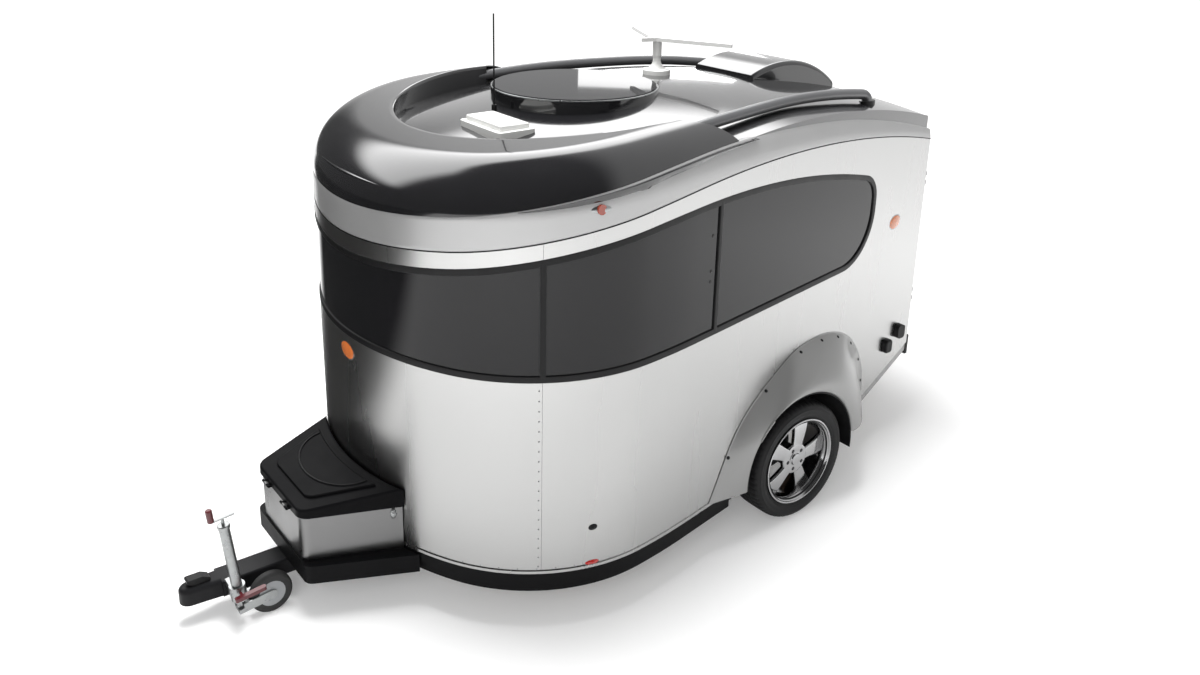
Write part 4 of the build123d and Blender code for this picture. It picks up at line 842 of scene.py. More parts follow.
# ---- roof ----------------------------------------------------------------------------------------
@dataclass(frozen=True)
class Roof:
    """The grey roof band, the black front fairing and the crowned roof skin.

    The band's edges are rounded over a width by a depth. The fairing's lip is given as how far it
    lies inside the opening and how far it drops, and its last line reaches under the roof skin.
    """

    form: BodyForm
    band_wall: float = 0.014
    band_height: float = 0.160
    band_round: Pair = (0.003, 0.0025)
    band_ledge: Pair = (0.010, 0.024)
    fairing_wall: float = 0.006
    fairing_columns: int = 200
    fairing_power: float = 1.7
    fairing_gap: float = 0.0006
    fairing_lift: float = 0.0004
    lip: Profile = ((0.006, 0.0015), (0.010, 0.006), (0.011, 0.020), (0.011, 0.022))
    lip_lap: float = 0.004
    oval_reach: float = 0.880
    oval_radius: float = 0.820
    end_inner: Pair = (0.800, 0.800)
    end_outer: Pair = (0.530, 1.104)
    skylight_radius: float = 0.398
    rim_drop: float = 0.008
    rim_step: float = 0.006
    side_columns: int = 121
    tail_columns: int = 39
    skin: float = 0.030

    def band(self, palette: Palette) -> bpy.types.Object:
        """Builds the band from the seam up to the gutter on the cap's surface, with a ledge on top.

        Args:
            palette: The finishes.

        Returns:
            The piece.
        """
        half = np.linspace(0.0, self.form.last_run(), 150)
        run = np.concatenate([-half[:0:-1], half])
        x0 = self.form.plan(run)[0]
        seam, gutter = arc_height(x0, self.form.seam), arc_height(x0, self.form.gutter)
        rows = []
        share = np.concatenate([[0.0, 0.012], np.linspace(0.03, 0.97, 12), [0.99, 1.0]])
        for t in share:
            z = seam + (gutter - seam) * t
            inset = self.form.cap_inset(run, z)
            edge = min(t, 1.0 - t) * self.band_height
            inset = inset + self.band_round[1] * max(0.0, 1.0 - edge / self.band_round[0])
            x, y, _, _ = self.form.plan(run, inset)
            rows.append(np.stack([x, y, z], axis=1))
        inset = self.form.cap_inset(run, gutter)
        for step in self.band_ledge:
            x, y, _, _ = self.form.plan(run, inset + step)
            rows.append(np.stack([x, y, gutter], axis=1))
        piece = make_piece("roof_band_skin", [Sheet(np.stack(rows))], palette, Slot.BAND)
        thicken(piece, self.band_wall)
        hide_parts("roof_band")
        return piece

    def outer_edge(self, spots: int) -> Array:
        """Gives the runs of the fairing's outer edge from its right end to its left end.

        Args:
            spots: Number of steps along it.

        Returns:
            The runs.
        """
        end = float(self.form.run_at(ahead(self.end_outer[0])))
        half = end * np.sin(np.linspace(0.0, np.pi / 2, spots // 2 + 1))
        return np.concatenate([-half[:0:-1], half])

    def fairing(self, palette: Palette) -> bpy.types.Object:
        """Builds the fairing as a grid from the gutter in to the round opening.

        A column joins a point of the outer edge to one of the opening's circle, spread by angle.
        Its rows step inward by a share to a power, finer on the rounded edge, and take the cap's
        height.

        Args:
            palette: The finishes.

        Returns:
            The piece.
        """
        run = self.outer_edge(self.fairing_columns)
        gutter = arc_height(self.form.plan(run)[0], self.form.gutter)
        inset = self.form.cap_inset(run, gutter) + self.fairing_gap
        ox, oy, _, _ = self.form.plan(run, inset)
        end_turn = math.atan2(self.end_inner[1], self.end_inner[0] - self.oval_reach)
        turn = end_turn * (run / run[-1])
        ix = ahead(self.oval_reach) + self.oval_radius * np.cos(turn)
        iy = self.oval_radius * np.sin(turn)
        share = np.linspace(0.0, 1.0, 46)[:, None] ** self.fairing_power
        x, y = ox + (ix - ox) * share, oy + (iy - oy) * share
        z = self.form.cap_height(x, y)
        z[0] = gutter + self.fairing_lift
        top = np.stack([x, y, z], axis=2)
        lip = []
        for turn_in, drop in self.lip:
            cx = ahead(self.oval_reach) + (self.oval_radius - turn_in) * np.cos(turn)
            cy = (self.oval_radius - turn_in) * np.sin(turn)
            lip.append(np.stack([cx, cy, z[-1] - drop], axis=1))
        lip[-1][:, 2] = np.minimum(self.form.roof(cx, cy) - self.lip_lap, lip[-1][:, 2])
        points = np.concatenate([top, np.stack(lip)])
        piece = make_piece("front_fairing_skin", [Sheet(points)], palette, Slot.GLOSS_BLACK, sharp=50.0)
        thicken(piece, self.fairing_wall)
        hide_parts("front_fairing")
        return piece

    def skin_piece(self, palette: Palette) -> bpy.types.Object:
        """Builds the roof skin as a ring from the skylight's edge out to the rim, then the rim down.

        A point lies on a ray from the skylight's middle, at a share between the circle and the
        outline at the roof's inset.

        Args:
            palette: The finishes.

        Returns:
            The piece.
        """
        flank, tail = self.side_columns, self.tail_columns
        half = np.linspace(0.0, self.form.last_run(), flank)
        run = np.concatenate([half, -half[::-1]])
        ox, oy, _, _ = self.form.plan(run, self.form.roof_inset)
        back = np.linspace(1.0, -1.0, tail + 2)[1:-1]
        ox = np.concatenate([ox[:flank], np.full(tail, self.form.tail_x), ox[flank:-1]])
        oy = np.concatenate([oy[:flank], back * oy[flank - 1], oy[flank:-1]])
        cx = ahead(self.form.skylight_reach)
        lean = np.arctan2(oy, ox - cx)
        ix, iy = cx + self.skylight_radius * np.cos(lean), self.skylight_radius * np.sin(lean)
        share = np.concatenate([np.linspace(0.0, 0.98, 50), [0.992, 1.0]])[:, None]
        x, y = ix + (ox - ix) * share, iy + (oy - iy) * share
        z = self.form.roof(x, y)
        rim = z[-1] - self.rim_step
        low = arc_height(np.minimum(ox, ahead(self.form.nose_reach)), self.form.gutter) - self.rim_drop
        across = slice(flank, flank + tail)
        low[across] = rim[across] - self.skin
        down = [np.stack([ox, oy, rim + (low - rim) * t], axis=1) for t in (0.0, 0.5, 1.0)]
        points = np.concatenate([np.stack([x, y, z], axis=2), np.stack(down)])
        piece = make_piece("roof_skin", [Sheet(points, close_columns=True, turned=True)], palette,
                           Slot.GLOSS_BLACK, sharp=50.0)
        thicken(piece, self.skin)
        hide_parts("roof_shell")
        return piece

    def build(self, palette: Palette) -> None:
        """Builds the three roof pieces.

        Args:
            palette: The finishes.
        """
        self.band(palette)
        self.fairing(palette)
        self.skin_piece(palette)


# ---- wheels and fenders --------------------------------------------------------------------------
@dataclass(frozen=True)
class Fender:
    """A wheel arch that swells from the side wall to a rolled lip round the wheel opening.

    The outline is given as reaches and heights. The flange lies at shares before the outline and
    stands proud of the wall, and the roll at shares up to the opening and turns in from the face.
    The hollow is the share of the outline where it starts, the share it grows over and its amount.
    """

    form: BodyForm
    outline: Profile = (
        (0.640, 0.290), (0.400, 0.655), (0.020, 0.868), (-0.200, 0.905), (-0.400, 0.885),
        (-0.575, 0.815), (-0.710, 0.690), (-0.795, 0.530), (-0.820, 0.385),
    )
    face_y: float = 1.004
    rear_z: float = 0.385
    low_z: float = 0.290
    lip_radius: float = 0.392
    wall: float = 0.005
    widest_y: float = 1.0575
    foot_proud: float = 0.0040
    least_swell: float = 0.006
    swell_share: float = 0.96
    swell_rows: int = 34
    swell_end: float = 0.93
    swell_edge: Pair = (0.955, 0.975)
    hollow: Triple = (0.45, 0.40, 0.85)
    flange: Profile = ((-0.018, 0.0010), (-0.017, 0.0035), (-0.004, 0.0040))
    roll: Profile = ((0.990, 0.003), (0.998, 0.010), (1.0, 0.034))
    bolt: Pair = (0.0095, 0.0095)
    bolt_height: float = 0.005
    bolt_row: int = 5
    bolt_count: int = 8
    bolt_margin: int = 8

    def side_y(self, x: Array) -> Array:
        """Gives the skin's half width at places along the body."""
        return np.abs(self.form.plan(self.form.run_at(x))[1])

    def grid(self, side: int) -> Array:
        """Gives the fender's points, one row for each step from the wall to the wheel opening.

        A column joins the outline on the wall to the opening's circle. At the front it stands out
        by 1 - (1 - t) squared, and toward the rear it turns to t squared (3 - 2 t), which is hollow
        by the wall and full by the lip.

        Args:
            side: 1 for the left side, -1 for the right.

        Returns:
            The grid of points.
        """
        reach, height = np.array(self.outline).T
        stops = np.column_stack([AXLE_X + reach, np.zeros_like(reach), height])
        path = smooth_path(stops, 14)
        ox, oz = path[:, 0], path[:, 2]
        share = np.linspace(0.0, 1.0, len(path))
        start = math.asin((self.low_z - WHEEL_Z) / self.lip_radius)
        end = math.pi - math.asin((self.rear_z - WHEEL_Z) / self.lip_radius)
        turn = start + (end - start) * share
        lx, lz = AXLE_X + self.lip_radius * np.cos(turn), WHEEL_Z + self.lip_radius * np.sin(turn)
        first, length, amount = self.hollow
        soft = amount * np.clip((share - first) / length, 0.0, 1.0)
        rows = []
        for step, proud in self.flange:
            x, z = ox + (lx - ox) * step, oz + (lz - oz) * step
            rows.append(np.stack([x, self.side_y(x) + proud, z], axis=1))
        for v in np.concatenate([np.linspace(0.0, self.swell_end, self.swell_rows), self.swell_edge]):
            x, z = ox + (lx - ox) * v, oz + (lz - oz) * v
            skin = self.side_y(x) + self.foot_proud
            t = min(v / self.swell_share, 1.0)
            full, slow = 1.0 - (1.0 - t) ** 2, t * t * (3.0 - 2.0 * t)
            out = np.maximum(self.face_y - skin, self.least_swell) * (full + (slow - full) * soft)
            rows.append(np.stack([x, np.minimum(skin + out, self.widest_y), z], axis=1))
        last = rows[-1]
        for near, drop in self.roll:
            x, z = ox + (lx - ox) * near, oz + (lz - oz) * near
            rows.append(np.stack([x, last[:, 1] - drop, z], axis=1))
        points = np.stack(rows)
        points[:, :, 1] *= side
        return points

    def build(self, palette: Palette) -> None:
        """Builds both fenders.

        Args:
            palette: The finishes.
        """
        for word, side in SIDES:
            piece = make_piece(f"fender_skin_{word}", [Sheet(self.grid(side), turned=side > 0)],
                               palette, Slot.FENDER, sharp=50.0)
            thicken(piece, self.wall)
            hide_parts(f"fender_{word}")
        self.bolts(palette)

    def bolts(self, palette: Palette) -> None:
        """Builds the bolts round the fenders' flanges, each standing square to the flare under it.

        Args:
            palette: The finishes.
        """
        row, margin, sheets = self.bolt_row, self.bolt_margin, []
        for side in (1, -1):
            grid = self.grid(side)
            for column in np.linspace(margin, grid.shape[1] - 1 - margin, self.bolt_count).astype(int):
                along = grid[row, column + 1] - grid[row, column - 1]
                out = np.cross(along, grid[row + 1, column] - grid[row - 1, column])
                out *= np.sign(out[1]) * side
                sheets.append(stud(grid[row, column], out, self.bolt, self.bolt_height, sides=10))
        make_piece("fender_bolts", sheets, palette, Slot.BLACK_STEEL)


@dataclass(frozen=True)
class Tyre:
    """A road tyre with grooves round its tread, cross sipes and ridges on its walls.

    The outline is given as distances from the tyre's middle and radii. The shoulder cuts lie
    outside a distance and a radius and the tread's sipes inside a distance and outside a radius,
    each with its depth.
    """

    centre: Triple = (AXLE_X, 0.896, WHEEL_Z)
    turns: int = 240
    shoulder_cut: Triple = (0.052, 0.3150, 0.0040)
    sipe: Triple = (0.031, 0.3250, 0.0025)
    outline: Profile = (
        (0.0860, 0.2160), (0.0862, 0.2300), (0.0880, 0.2420), (0.0930, 0.2490), (0.0965, 0.2535),
        (0.0975, 0.2560), (0.0968, 0.2575), (0.0990, 0.2620), (0.1014, 0.2700), (0.1025, 0.2790),
        (0.1020, 0.2900), (0.1024, 0.2912), (0.1024, 0.2945), (0.1008, 0.2958), (0.0980, 0.3040),
        (0.0945, 0.3110), (0.0905, 0.3155), (0.0860, 0.3190), (0.0790, 0.3222), (0.0700, 0.3238),
        (0.0560, 0.3248), (0.0400, 0.3252), (0.0385, 0.3205), (0.0318, 0.3205), (0.0300, 0.3254),
        (0.0160, 0.3255), (0.0055, 0.3255), (0.0040, 0.3205), (0.0000, 0.3203),
    )

    def build(self, palette: Palette) -> None:
        """Builds both tyres: the outline turned round, with every fourth step cut in at the shoulders.

        Args:
            palette: The finishes.
        """
        outline = np.array(self.outline)
        full = np.concatenate([outline, outline[:-1][::-1] * np.array([-1.0, 1.0])])
        far, radii = np.abs(full[None, :, 0]), full[None, :, 1]
        for word, side in SIDES:
            sheet = revolve(full, (self.centre[0], side * self.centre[1], self.centre[2]), side, self.turns)
            points = sheet.points
            middle = np.array([self.centre[0], 0.0, self.centre[2]])
            spoke = (points - middle) * np.array([1.0, 0.0, 1.0])
            radius = np.linalg.norm(spoke, axis=2, keepdims=True)
            step = np.arange(self.turns)[:, None]
            cut = (step % 4 == 0) & (far > self.shoulder_cut[0]) & (radii > self.shoulder_cut[1])
            fine = (step % 4 == 2) & (far < self.sipe[0]) & (radii > self.sipe[1])
            depth = np.where(cut, self.shoulder_cut[2], 0.0) + np.where(fine, self.sipe[2], 0.0)
            sheet.points = points - spoke / radius * depth[:, :, None]
            sheet.close_columns = True
            piece = make_piece(f"tyre_tread_{word}", [sheet], palette, Slot.TYRE, f"wheel_{word}",
                               sharp=35.0)
            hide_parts(f"tyre_{word}")


@dataclass(frozen=True)
class Rim:
    """A polished deep-dish rim with five flared spokes set back from its lip.

    The barrel and the hub are given as distances from the rim's middle and radii. A spoke's section
    is given as shares of its half width and its depth, which lies between its back and its front.
    """

    centre: Triple = (AXLE_X, 0.896, WHEEL_Z)
    barrel: Profile = (
        (-0.0860, 0.2160), (-0.0860, 0.2385), (-0.0900, 0.2390), (-0.0975, 0.2380), (-0.0980, 0.2300),
        (-0.0940, 0.2255), (-0.0860, 0.2180), (-0.0700, 0.2070), (0.0300, 0.2050), (0.0440, 0.2060),
        (0.0640, 0.2095), (0.0780, 0.2150), (0.0850, 0.2210), (0.0890, 0.2270), (0.0925, 0.2288),
        (0.0965, 0.2300), (0.0985, 0.2325), (0.0985, 0.2365), (0.0965, 0.2390), (0.0900, 0.2392),
        (0.0860, 0.2385), (0.0860, 0.2162),
    )
    hub: Profile = (
        (0.0400, 0.0002), (0.0400, 0.0880), (0.0500, 0.0880), (0.0590, 0.0860), (0.0625, 0.0810),
        (0.0635, 0.0740), (0.0632, 0.0400), (0.0625, 0.0350), (0.0640, 0.0330), (0.0715, 0.0300),
        (0.0722, 0.0270), (0.0725, 0.0002),
    )
    spokes: int = 5
    phase: float = math.radians(30.0)
    root_radius: float = 0.070
    spoke_length: float = 0.139
    spoke_back: float = 0.040
    spoke_front: float = 0.0630
    spoke_flare: float = 1.4
    back_fall: float = 0.008
    front_fall: Pair = (0.004, 0.010)
    root_half: float = 0.034
    tip_half: float = 0.056
    bolt_ring: float = 0.056
    bolt_face: float = 0.0632
    bolt: Pair = (0.0110, 0.0110)
    bolt_height: float = 0.0012
    section: Profile = (
        (-1.0, 0.0), (-1.0, 0.55), (-0.965, 0.83), (-0.88, 0.97), (-0.75, 1.0), (0.75, 1.0),
        (0.88, 0.97), (0.965, 0.83), (1.0, 0.55), (1.0, 0.0),
    )

    def spoke(self, side: int, turn: float) -> Sheet:
        """Builds a spoke: its section carried out along the radius, widening and dropping as it goes.

        For t from root to tip, the half width grows with t to a power, the back falls with t and
        the front with t and with t to the fourth.

        Args:
            side: 1 for the left wheel, -1 for the right.
            turn: Angle of the spoke round the axle.

        Returns:
            The spoke.
        """
        across, rise = np.array(self.section).T
        t = np.linspace(0.0, 1.0, 15)[:, None]
        radius = self.root_radius + self.spoke_length * t
        half = self.root_half + (self.tip_half - self.root_half) * t ** self.spoke_flare
        back = self.spoke_back - self.back_fall * t
        front = self.spoke_front - self.front_fall[0] * t - self.front_fall[1] * t ** 4
        offset = back + (front - back) * rise[None, :]
        width = half * across[None, :]
        c, s = math.cos(turn), math.sin(turn)
        points = np.stack([self.centre[0] + radius * c - width * s, side * (self.centre[1] + offset),
                           self.centre[2] + radius * s + width * c], axis=2)
        return Sheet(points, close_columns=True, turned=side > 0)

    def build(self, palette: Palette) -> None:
        """Builds both rims, and a dark disc on each bolt hole: the dark hub seen through it and painted shade
        of the recess.

        Args:
            palette: The finishes.
        """
        for word, side in SIDES:
            middle = (self.centre[0], side * self.centre[1], self.centre[2])
            barrel = revolve(np.array(self.barrel), middle, side, 120)
            barrel.close_columns = True
            barrel.turned = not barrel.turned
            hub = revolve(np.array(self.hub), middle, side, 60)
            hub.turned = not hub.turned
            pitch = 2 * math.pi / self.spokes
            spokes = [self.spoke(side, self.phase + step * pitch) for step in range(self.spokes)]
            piece = make_piece(f"rim_{word}_polished", [barrel, hub, *spokes], palette, Slot.ALLOY,
                               f"wheel_{word}", sharp=45.0)
            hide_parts(f"rim_{word}")
            # A dark disc sits on each bolt hole: the dark hub seen through it, and painted shade of the
            # recess.
            hole_shades = []
            for step in range(self.spokes):
                turn = self.phase + (step + 0.5) * pitch
                place = np.array([middle[0] + self.bolt_ring * math.cos(turn),
                                  side * (self.centre[1] + self.bolt_face),
                                  middle[2] + self.bolt_ring * math.sin(turn)])
                out = np.array([0.0, float(side), 0.0])
                hole_shades.append(stud(place, out, self.bolt, self.bolt_height, sides=14))
            make_piece(f"wheel_hole_shade_{word}", hole_shades, palette, Slot.CAST, f"wheel_{word}")


# ---- rails and trim ------------------------------------------------------------------------------
def tube(path: Array, radius: Array | float, sides: int = 20) -> Sheet:
    """Carries a circle along a path. A ring lies square to the path's direction at its point.

    Args:
        path: Points of the path.
        radius: The circle's radius at each point.
        sides: Number of steps round the circle.

    Returns:
        The tube, with both ends drawn in to a point.
    """
    aim = np.gradient(path, axis=0)
    aim /= np.linalg.norm(aim, axis=1, keepdims=True)
    flat = np.cross(aim, np.array([0.0, 0.0, 1.0]))
    flat /= np.maximum(np.linalg.norm(flat, axis=1, keepdims=True), 1e-9)
    up = np.cross(flat, aim)
    path = np.concatenate([path[:1], path[:1], path, path[-1:], path[-1:]])
    flat = np.concatenate([flat[:1], flat[:1], flat, flat[-1:], flat[-1:]])
    up = np.concatenate([up[:1], up[:1], up, up[-1:], up[-1:]])
    size = np.broadcast_to(radius, (len(path) - 4,))
    size = np.concatenate([[1e-5, size[0] * 0.93], size, [size[-1] * 0.93, 1e-5]])[:, None, None]
    turn = np.linspace(0.0, 2 * np.pi, sides, endpoint=False)[None, :, None]
    ring = flat[:, None, :] * np.cos(turn) + up[:, None, :] * np.sin(turn)
    return Sheet(path[:, None, :] + size * ring, close_columns=True)


def smooth_path(stops: Array, steps: int) -> Array:
    """Gives a curve through stops: between two, a cubic with the slope of their neighbours' chord.

    Args:
        stops: Points that the curve runs through.
        steps: Steps between two stops.

    Returns:
        The points of the curve.
    """
    ends = np.concatenate([2 * stops[:1] - stops[1:2], stops, 2 * stops[-1:] - stops[-2:-1]])
    t = np.linspace(0.0, 1.0, steps, endpoint=False)[None, :, None]
    a, b, c, d = (ends[i:len(ends) - 3 + i, None, :] for i in range(4))
    curve = 0.5 * (2 * b + (c - a) * t + (2 * a - 5 * b + 4 * c - d) * t ** 2
                   + (3 * b - a - 3 * c + d) * t ** 3)
    return np.concatenate([curve.reshape(-1, 3), stops[-1:]])


def stud(place: Array, out: Array, size: Pair, height: float, sides: int = 12) -> Sheet:
    """Makes a low dome on a surface: rings that narrow as they rise, from one sunk under its foot.

    Args:
        place: Middle of the dome's foot.
        out: Direction that it stands out in.
        size: Half width across and half height up.
        height: How far it stands out.
        sides: Steps round it.

    Returns:
        The dome.
    """
    out = out / np.linalg.norm(out)
    across = np.cross(np.array([0.0, 0.0, 1.0]), out)
    across = across / np.linalg.norm(across)
    rise_way = np.cross(out, across)
    turn = np.linspace(0.0, 2 * np.pi, sides, endpoint=False)[None, :, None]
    lift = np.array([-0.4, 0.0, 0.35, 0.75, 1.0])[:, None, None]
    reach = np.array([1.0, 1.0, 0.90, 0.55, 1e-4])[:, None, None]
    ring = across * (size[0] * np.cos(turn)) + rise_way * (size[1] * np.sin(turn))
    return Sheet(place + ring * reach + out * (height * lift), close_columns=True)


@dataclass(frozen=True)
class RoofRails:
    """The grab rails that follow the roof's edge and turn down to their feet.

    The stops are the left rail's points, as reach, y and z.
    """

    stops: tuple[Triple, ...] = (
        (0.860, 0.838, 2.163), (0.430, 0.778, 2.188), (-0.020, 0.690, 2.192), (-0.370, 0.638, 2.176),
        (-0.690, 0.588, 2.140), (-0.755, 0.5845, 2.121), (-0.772, 0.585, 2.084),
    )
    radius: float = 0.028

    def build(self, palette: Palette) -> None:
        """Builds both rails as one piece.

        Args:
            palette: The finishes.
        """
        stops = np.array(self.stops) + np.array([AXLE_X, 0.0, 0.0])
        path = smooth_path(stops, 14)
        sheets = [tube(path, self.radius, 24), tube(path * np.array([1.0, -1.0, 1.0]), self.radius, 24)]
        piece = make_piece("grab_rails", sheets, palette, Slot.RAIL)
        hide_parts("roof_rails")


@dataclass(frozen=True)
class Trim:
    """Rivets, plates, latches, studs and small lamps over the body.

    A size is a half width and a half height, a spot a reach and a height, and a section a row of
    depths under the skin and lifts.
    """

    form: BodyForm
    band: WindowBand
    lamp_spot: Pair = (1.399, 1.968)
    lamp_base: Pair = (0.044, 0.0175)
    lamp_base_height: float = 0.005
    lamp_base_lean: float = 0.12
    ring_radius: float = 0.4165
    ring_z: float = 2.2435
    ring_thick: float = 0.0045
    latch_place: Triple = (1.292, 0.3957, 0.456)
    latch_out: Triple = (0.366, 0.931, 0.0)
    latch_plate: Pair = (0.015, 0.024)
    latch_plate_height: float = 0.008
    latch_hook: Pair = (0.010, 0.015)
    latch_hook_height: float = 0.010
    latch_hook_z: float = 0.475
    latch_hook_lift: float = 0.004
    joint_section: Profile = ((0.003, -0.0035), (-0.0012, -0.0030), (-0.0012, 0.0020), (0.003, 0.0025))
    ridge_middle: Pair = (1.355, 0.548)
    ridge_half: Pair = (0.190, 0.265)
    ridge_front_x: float = 1.705
    ridge_slope: Pair = (0.055, 0.485)
    ridge_radius: float = 0.0042
    pane_stud: Pair = (0.009, 0.009)
    pane_stud_height: float = 0.003
    pane_stud_depth: float = 0.006
    pane_stud_reach: float = 0.724
    pane_stud_z: Triple = (1.715, 1.545, 1.495)
    rivet: Pair = (0.0042, 0.0042)
    rivet_height: float = 0.0018
    rivet_pitch: float = 0.048
    rivet_margin: Pair = (0.03, 0.01)
    seam_offset: float = 0.014
    foot_rivet: Pair = (0.0032, 0.0032)
    foot_rivet_height: float = 0.0014
    foot_rivet_pitch: float = 0.085
    foot_rivet_margin: Pair = (0.06, 0.03)
    foot_rivet_lift: float = 0.018
    arch_half: float = 0.40
    plate: Pair = (0.062, 0.040)
    plate_height: float = 0.006
    plate_lift: float = 0.001
    plate_rim: Pair = (0.067, 0.045)
    plate_rim_height: float = 0.0035
    nose_plate_run: float = 0.028
    nose_plate_z: float = 1.140
    tail_plate_spot: Pair = (-1.018, 1.378)
    lock_spot: Pair = (1.404, 0.490)
    lock: Pair = (0.022, 0.016)
    lock_height: float = 0.005
    barrel: Pair = (0.009, 0.009)
    barrel_height: float = 0.007
    barrel_lift: float = 0.003
    marker_spot: Pair = (1.404, 0.308)
    marker: Pair = (0.034, 0.012)
    marker_height: float = 0.008
    strip_reach: float = 0.560
    strip_lift: float = 0.002
    strip_section: Profile = (
        (0.002, -0.008), (-0.004, -0.008), (-0.0055, -0.0065), (-0.0055, 0.0065), (-0.004, 0.008),
        (0.002, 0.008),
    )

    def on_skin(self, run: float, z: float) -> tuple[Array, Array]:
        """Gives a point of the skin at a run and a height, and its outward direction.

        Args:
            run: Length along the plan.
            z: Height.

        Returns:
            The point and the direction.
        """
        x, y, nx, ny = (float(v[0]) for v in self.form.plan(np.array([run])))
        return np.array([x, y, z]), np.array([nx, ny, 0.0])

    def run_of(self, reach: float) -> float:
        """Gives the left side's run at a reach."""
        return float(self.form.run_at(ahead(reach)))

    def bead(self, run: Array, z: Array, section: Profile) -> Sheet:
        """Carries a section along the skin.

        Args:
            run: Runs of the columns.
            z: Height of the section's middle at each run.
            section: Depths under the skin and lifts.

        Returns:
            The closed bead.
        """
        rows = []
        for depth, lift in section:
            x, y, _, _ = self.form.plan(run, depth)
            rows.append(np.stack([x, y, z + lift], axis=1))
        return Sheet(np.stack(rows), close_rows=True)

    def lamp_bases(self, palette: Palette) -> None:
        """Builds the bright oval plates under the roof band's marker lamps.

        Args:
            palette: The finishes.
        """
        reach, z = self.lamp_spot
        plates = []
        for side in (1, -1):
            run = side * self.run_of(reach)
            inset = float(self.form.cap_inset(np.array([run]), np.array([z]))[0])
            place, out = self.on_skin(run, z)
            lean = out + np.array([0.0, 0.0, self.lamp_base_lean])
            plates.append(stud(place - out * inset, lean, self.lamp_base, self.lamp_base_height, sides=32))
        make_piece("marker_bases", plates, palette, Slot.GALVANISED)

    def skylight_ring(self, palette: Palette) -> None:
        """Builds the bright ring round the skylight's pane, a circle carried round its upper edge.

        Args:
            palette: The finishes.
        """
        turn = np.linspace(0.0, 2 * np.pi, 120, endpoint=False)[:, None]
        lean = np.linspace(0.0, 2 * np.pi, 10, endpoint=False)[None, :]
        reach = self.ring_radius + self.ring_thick * np.cos(lean)
        x, y = ahead(self.form.skylight_reach) + reach * np.cos(turn), reach * np.sin(turn)
        z = self.ring_z + self.ring_thick * np.sin(lean)
        points = np.stack(np.broadcast_arrays(x, y, z), axis=2)
        make_piece("skylight_ring", [Sheet(points, close_rows=True, close_columns=True, turned=True)],
                   palette, Slot.GALVANISED)

    def box_latches(self, palette: Palette) -> None:
        """Builds the toggle latches near the rear corners of the box's sides, a plate and a hook each.

        Args:
            palette: The finishes.
        """
        latches = []
        for side in (1, -1):
            mirror = np.array([1.0, side, 1.0])
            out = np.array(self.latch_out) * mirror
            place = np.array(self.latch_place) * mirror
            hook = np.array([place[0], place[1], self.latch_hook_z]) + out * self.latch_hook_lift
            latches.append(stud(place, out, self.latch_plate, self.latch_plate_height, sides=16))
            latches.append(stud(hook, out, self.latch_hook, self.latch_hook_height, sides=12))
        make_piece("box_latches", latches, palette, Slot.GALVANISED)

    def seam_line(self, palette: Palette) -> None:
        """Builds the dark joint under the roof band, a flat bead that follows the seam's arc.

        Args:
            palette: The finishes.
        """
        half = np.linspace(0.0, self.form.last_run(), 150)
        run = np.concatenate([-half[:0:-1], half])
        seam = arc_height(self.form.plan(run)[0], self.form.seam)
        make_piece("band_joint", [self.bead(run, seam, self.joint_section)], palette, Slot.MATTE_BLACK)

    def lid_ridge(self, palette: Palette) -> None:
        """Builds the low ridge on the box lid, half an ellipse that bulges ahead over the lid's slope.

        Args:
            palette: The finishes.
        """
        turn = np.linspace(0.0, np.pi, 60)
        x = self.ridge_middle[0] + self.ridge_half[0] * np.sin(turn)
        y = self.ridge_half[1] * np.cos(turn)
        slope = self.ridge_slope[0] / self.ridge_slope[1]
        path = np.stack([x, y, self.ridge_middle[1] + (self.ridge_front_x - x) * slope], axis=1)
        make_piece("lid_ridge", [tube(path, self.ridge_radius, 10)], palette, Slot.MATTE_BLACK, "lid")

    def pane_studs(self, palette: Palette) -> None:
        """Builds the small round studs on the side panes ahead of their rear divider.

        Args:
            palette: The finishes.
        """
        studs = []
        for side in (1, -1):
            for z in self.pane_stud_z:
                place, out = self.on_skin(side * self.run_of(self.pane_stud_reach), z)
                studs.append(stud(place - out * self.pane_stud_depth, out, self.pane_stud,
                                  self.pane_stud_height, sides=14))
        make_piece("pane_studs", studs, palette, Slot.RUBBER)

    def rivets(self, palette: Palette) -> None:
        """Builds the rivet lines beside the nose seams and over the walls' foot.

        Args:
            palette: The finishes.
        """
        sheets = []
        split = self.run_of(self.form.split_reach)
        low, high = self.rivet_margin
        front, rear = self.foot_rivet_margin
        for side in (1, -1):
            for z in np.arange(self.form.foot_z + low, self.band.belt_z - high, self.rivet_pitch):
                place, out = self.on_skin(side * (split - self.seam_offset), float(z))
                sheets.append(stud(place, out, self.rivet, self.rivet_height, sides=8))
            for run in np.arange(front, self.form.last_run() - rear, self.foot_rivet_pitch):
                x = float(self.form.plan(np.array([run]))[0][0])
                if abs(x - AXLE_X) > self.arch_half:
                    z = float(self.form.foot(np.array([x]))[0]) + self.foot_rivet_lift
                    place, out = self.on_skin(side * float(run), z)
                    sheets.append(stud(place, out, self.foot_rivet, self.foot_rivet_height, sides=8))
        make_piece("rivets", sheets, palette, Slot.GALVANISED)

    def badges(self, palette: Palette) -> None:
        """Builds the plain oval plates on the nose and on the tail of each side.

        Args:
            palette: The finishes.
        """
        sheets, rings = [], []
        tail, tail_z = self.run_of(self.tail_plate_spot[0]), self.tail_plate_spot[1]
        for run, z in ((self.nose_plate_run, self.nose_plate_z), (tail, tail_z), (-tail, tail_z)):
            place, out = self.on_skin(run, z)
            sheets.append(stud(place + out * self.plate_lift, out, self.plate, self.plate_height, sides=40))
            rings.append(stud(place, out, self.plate_rim, self.plate_rim_height, sides=40))
        make_piece("oval_plates", sheets, palette, Slot.AMBER)
        make_piece("oval_rims", rings, palette, Slot.GALVANISED)

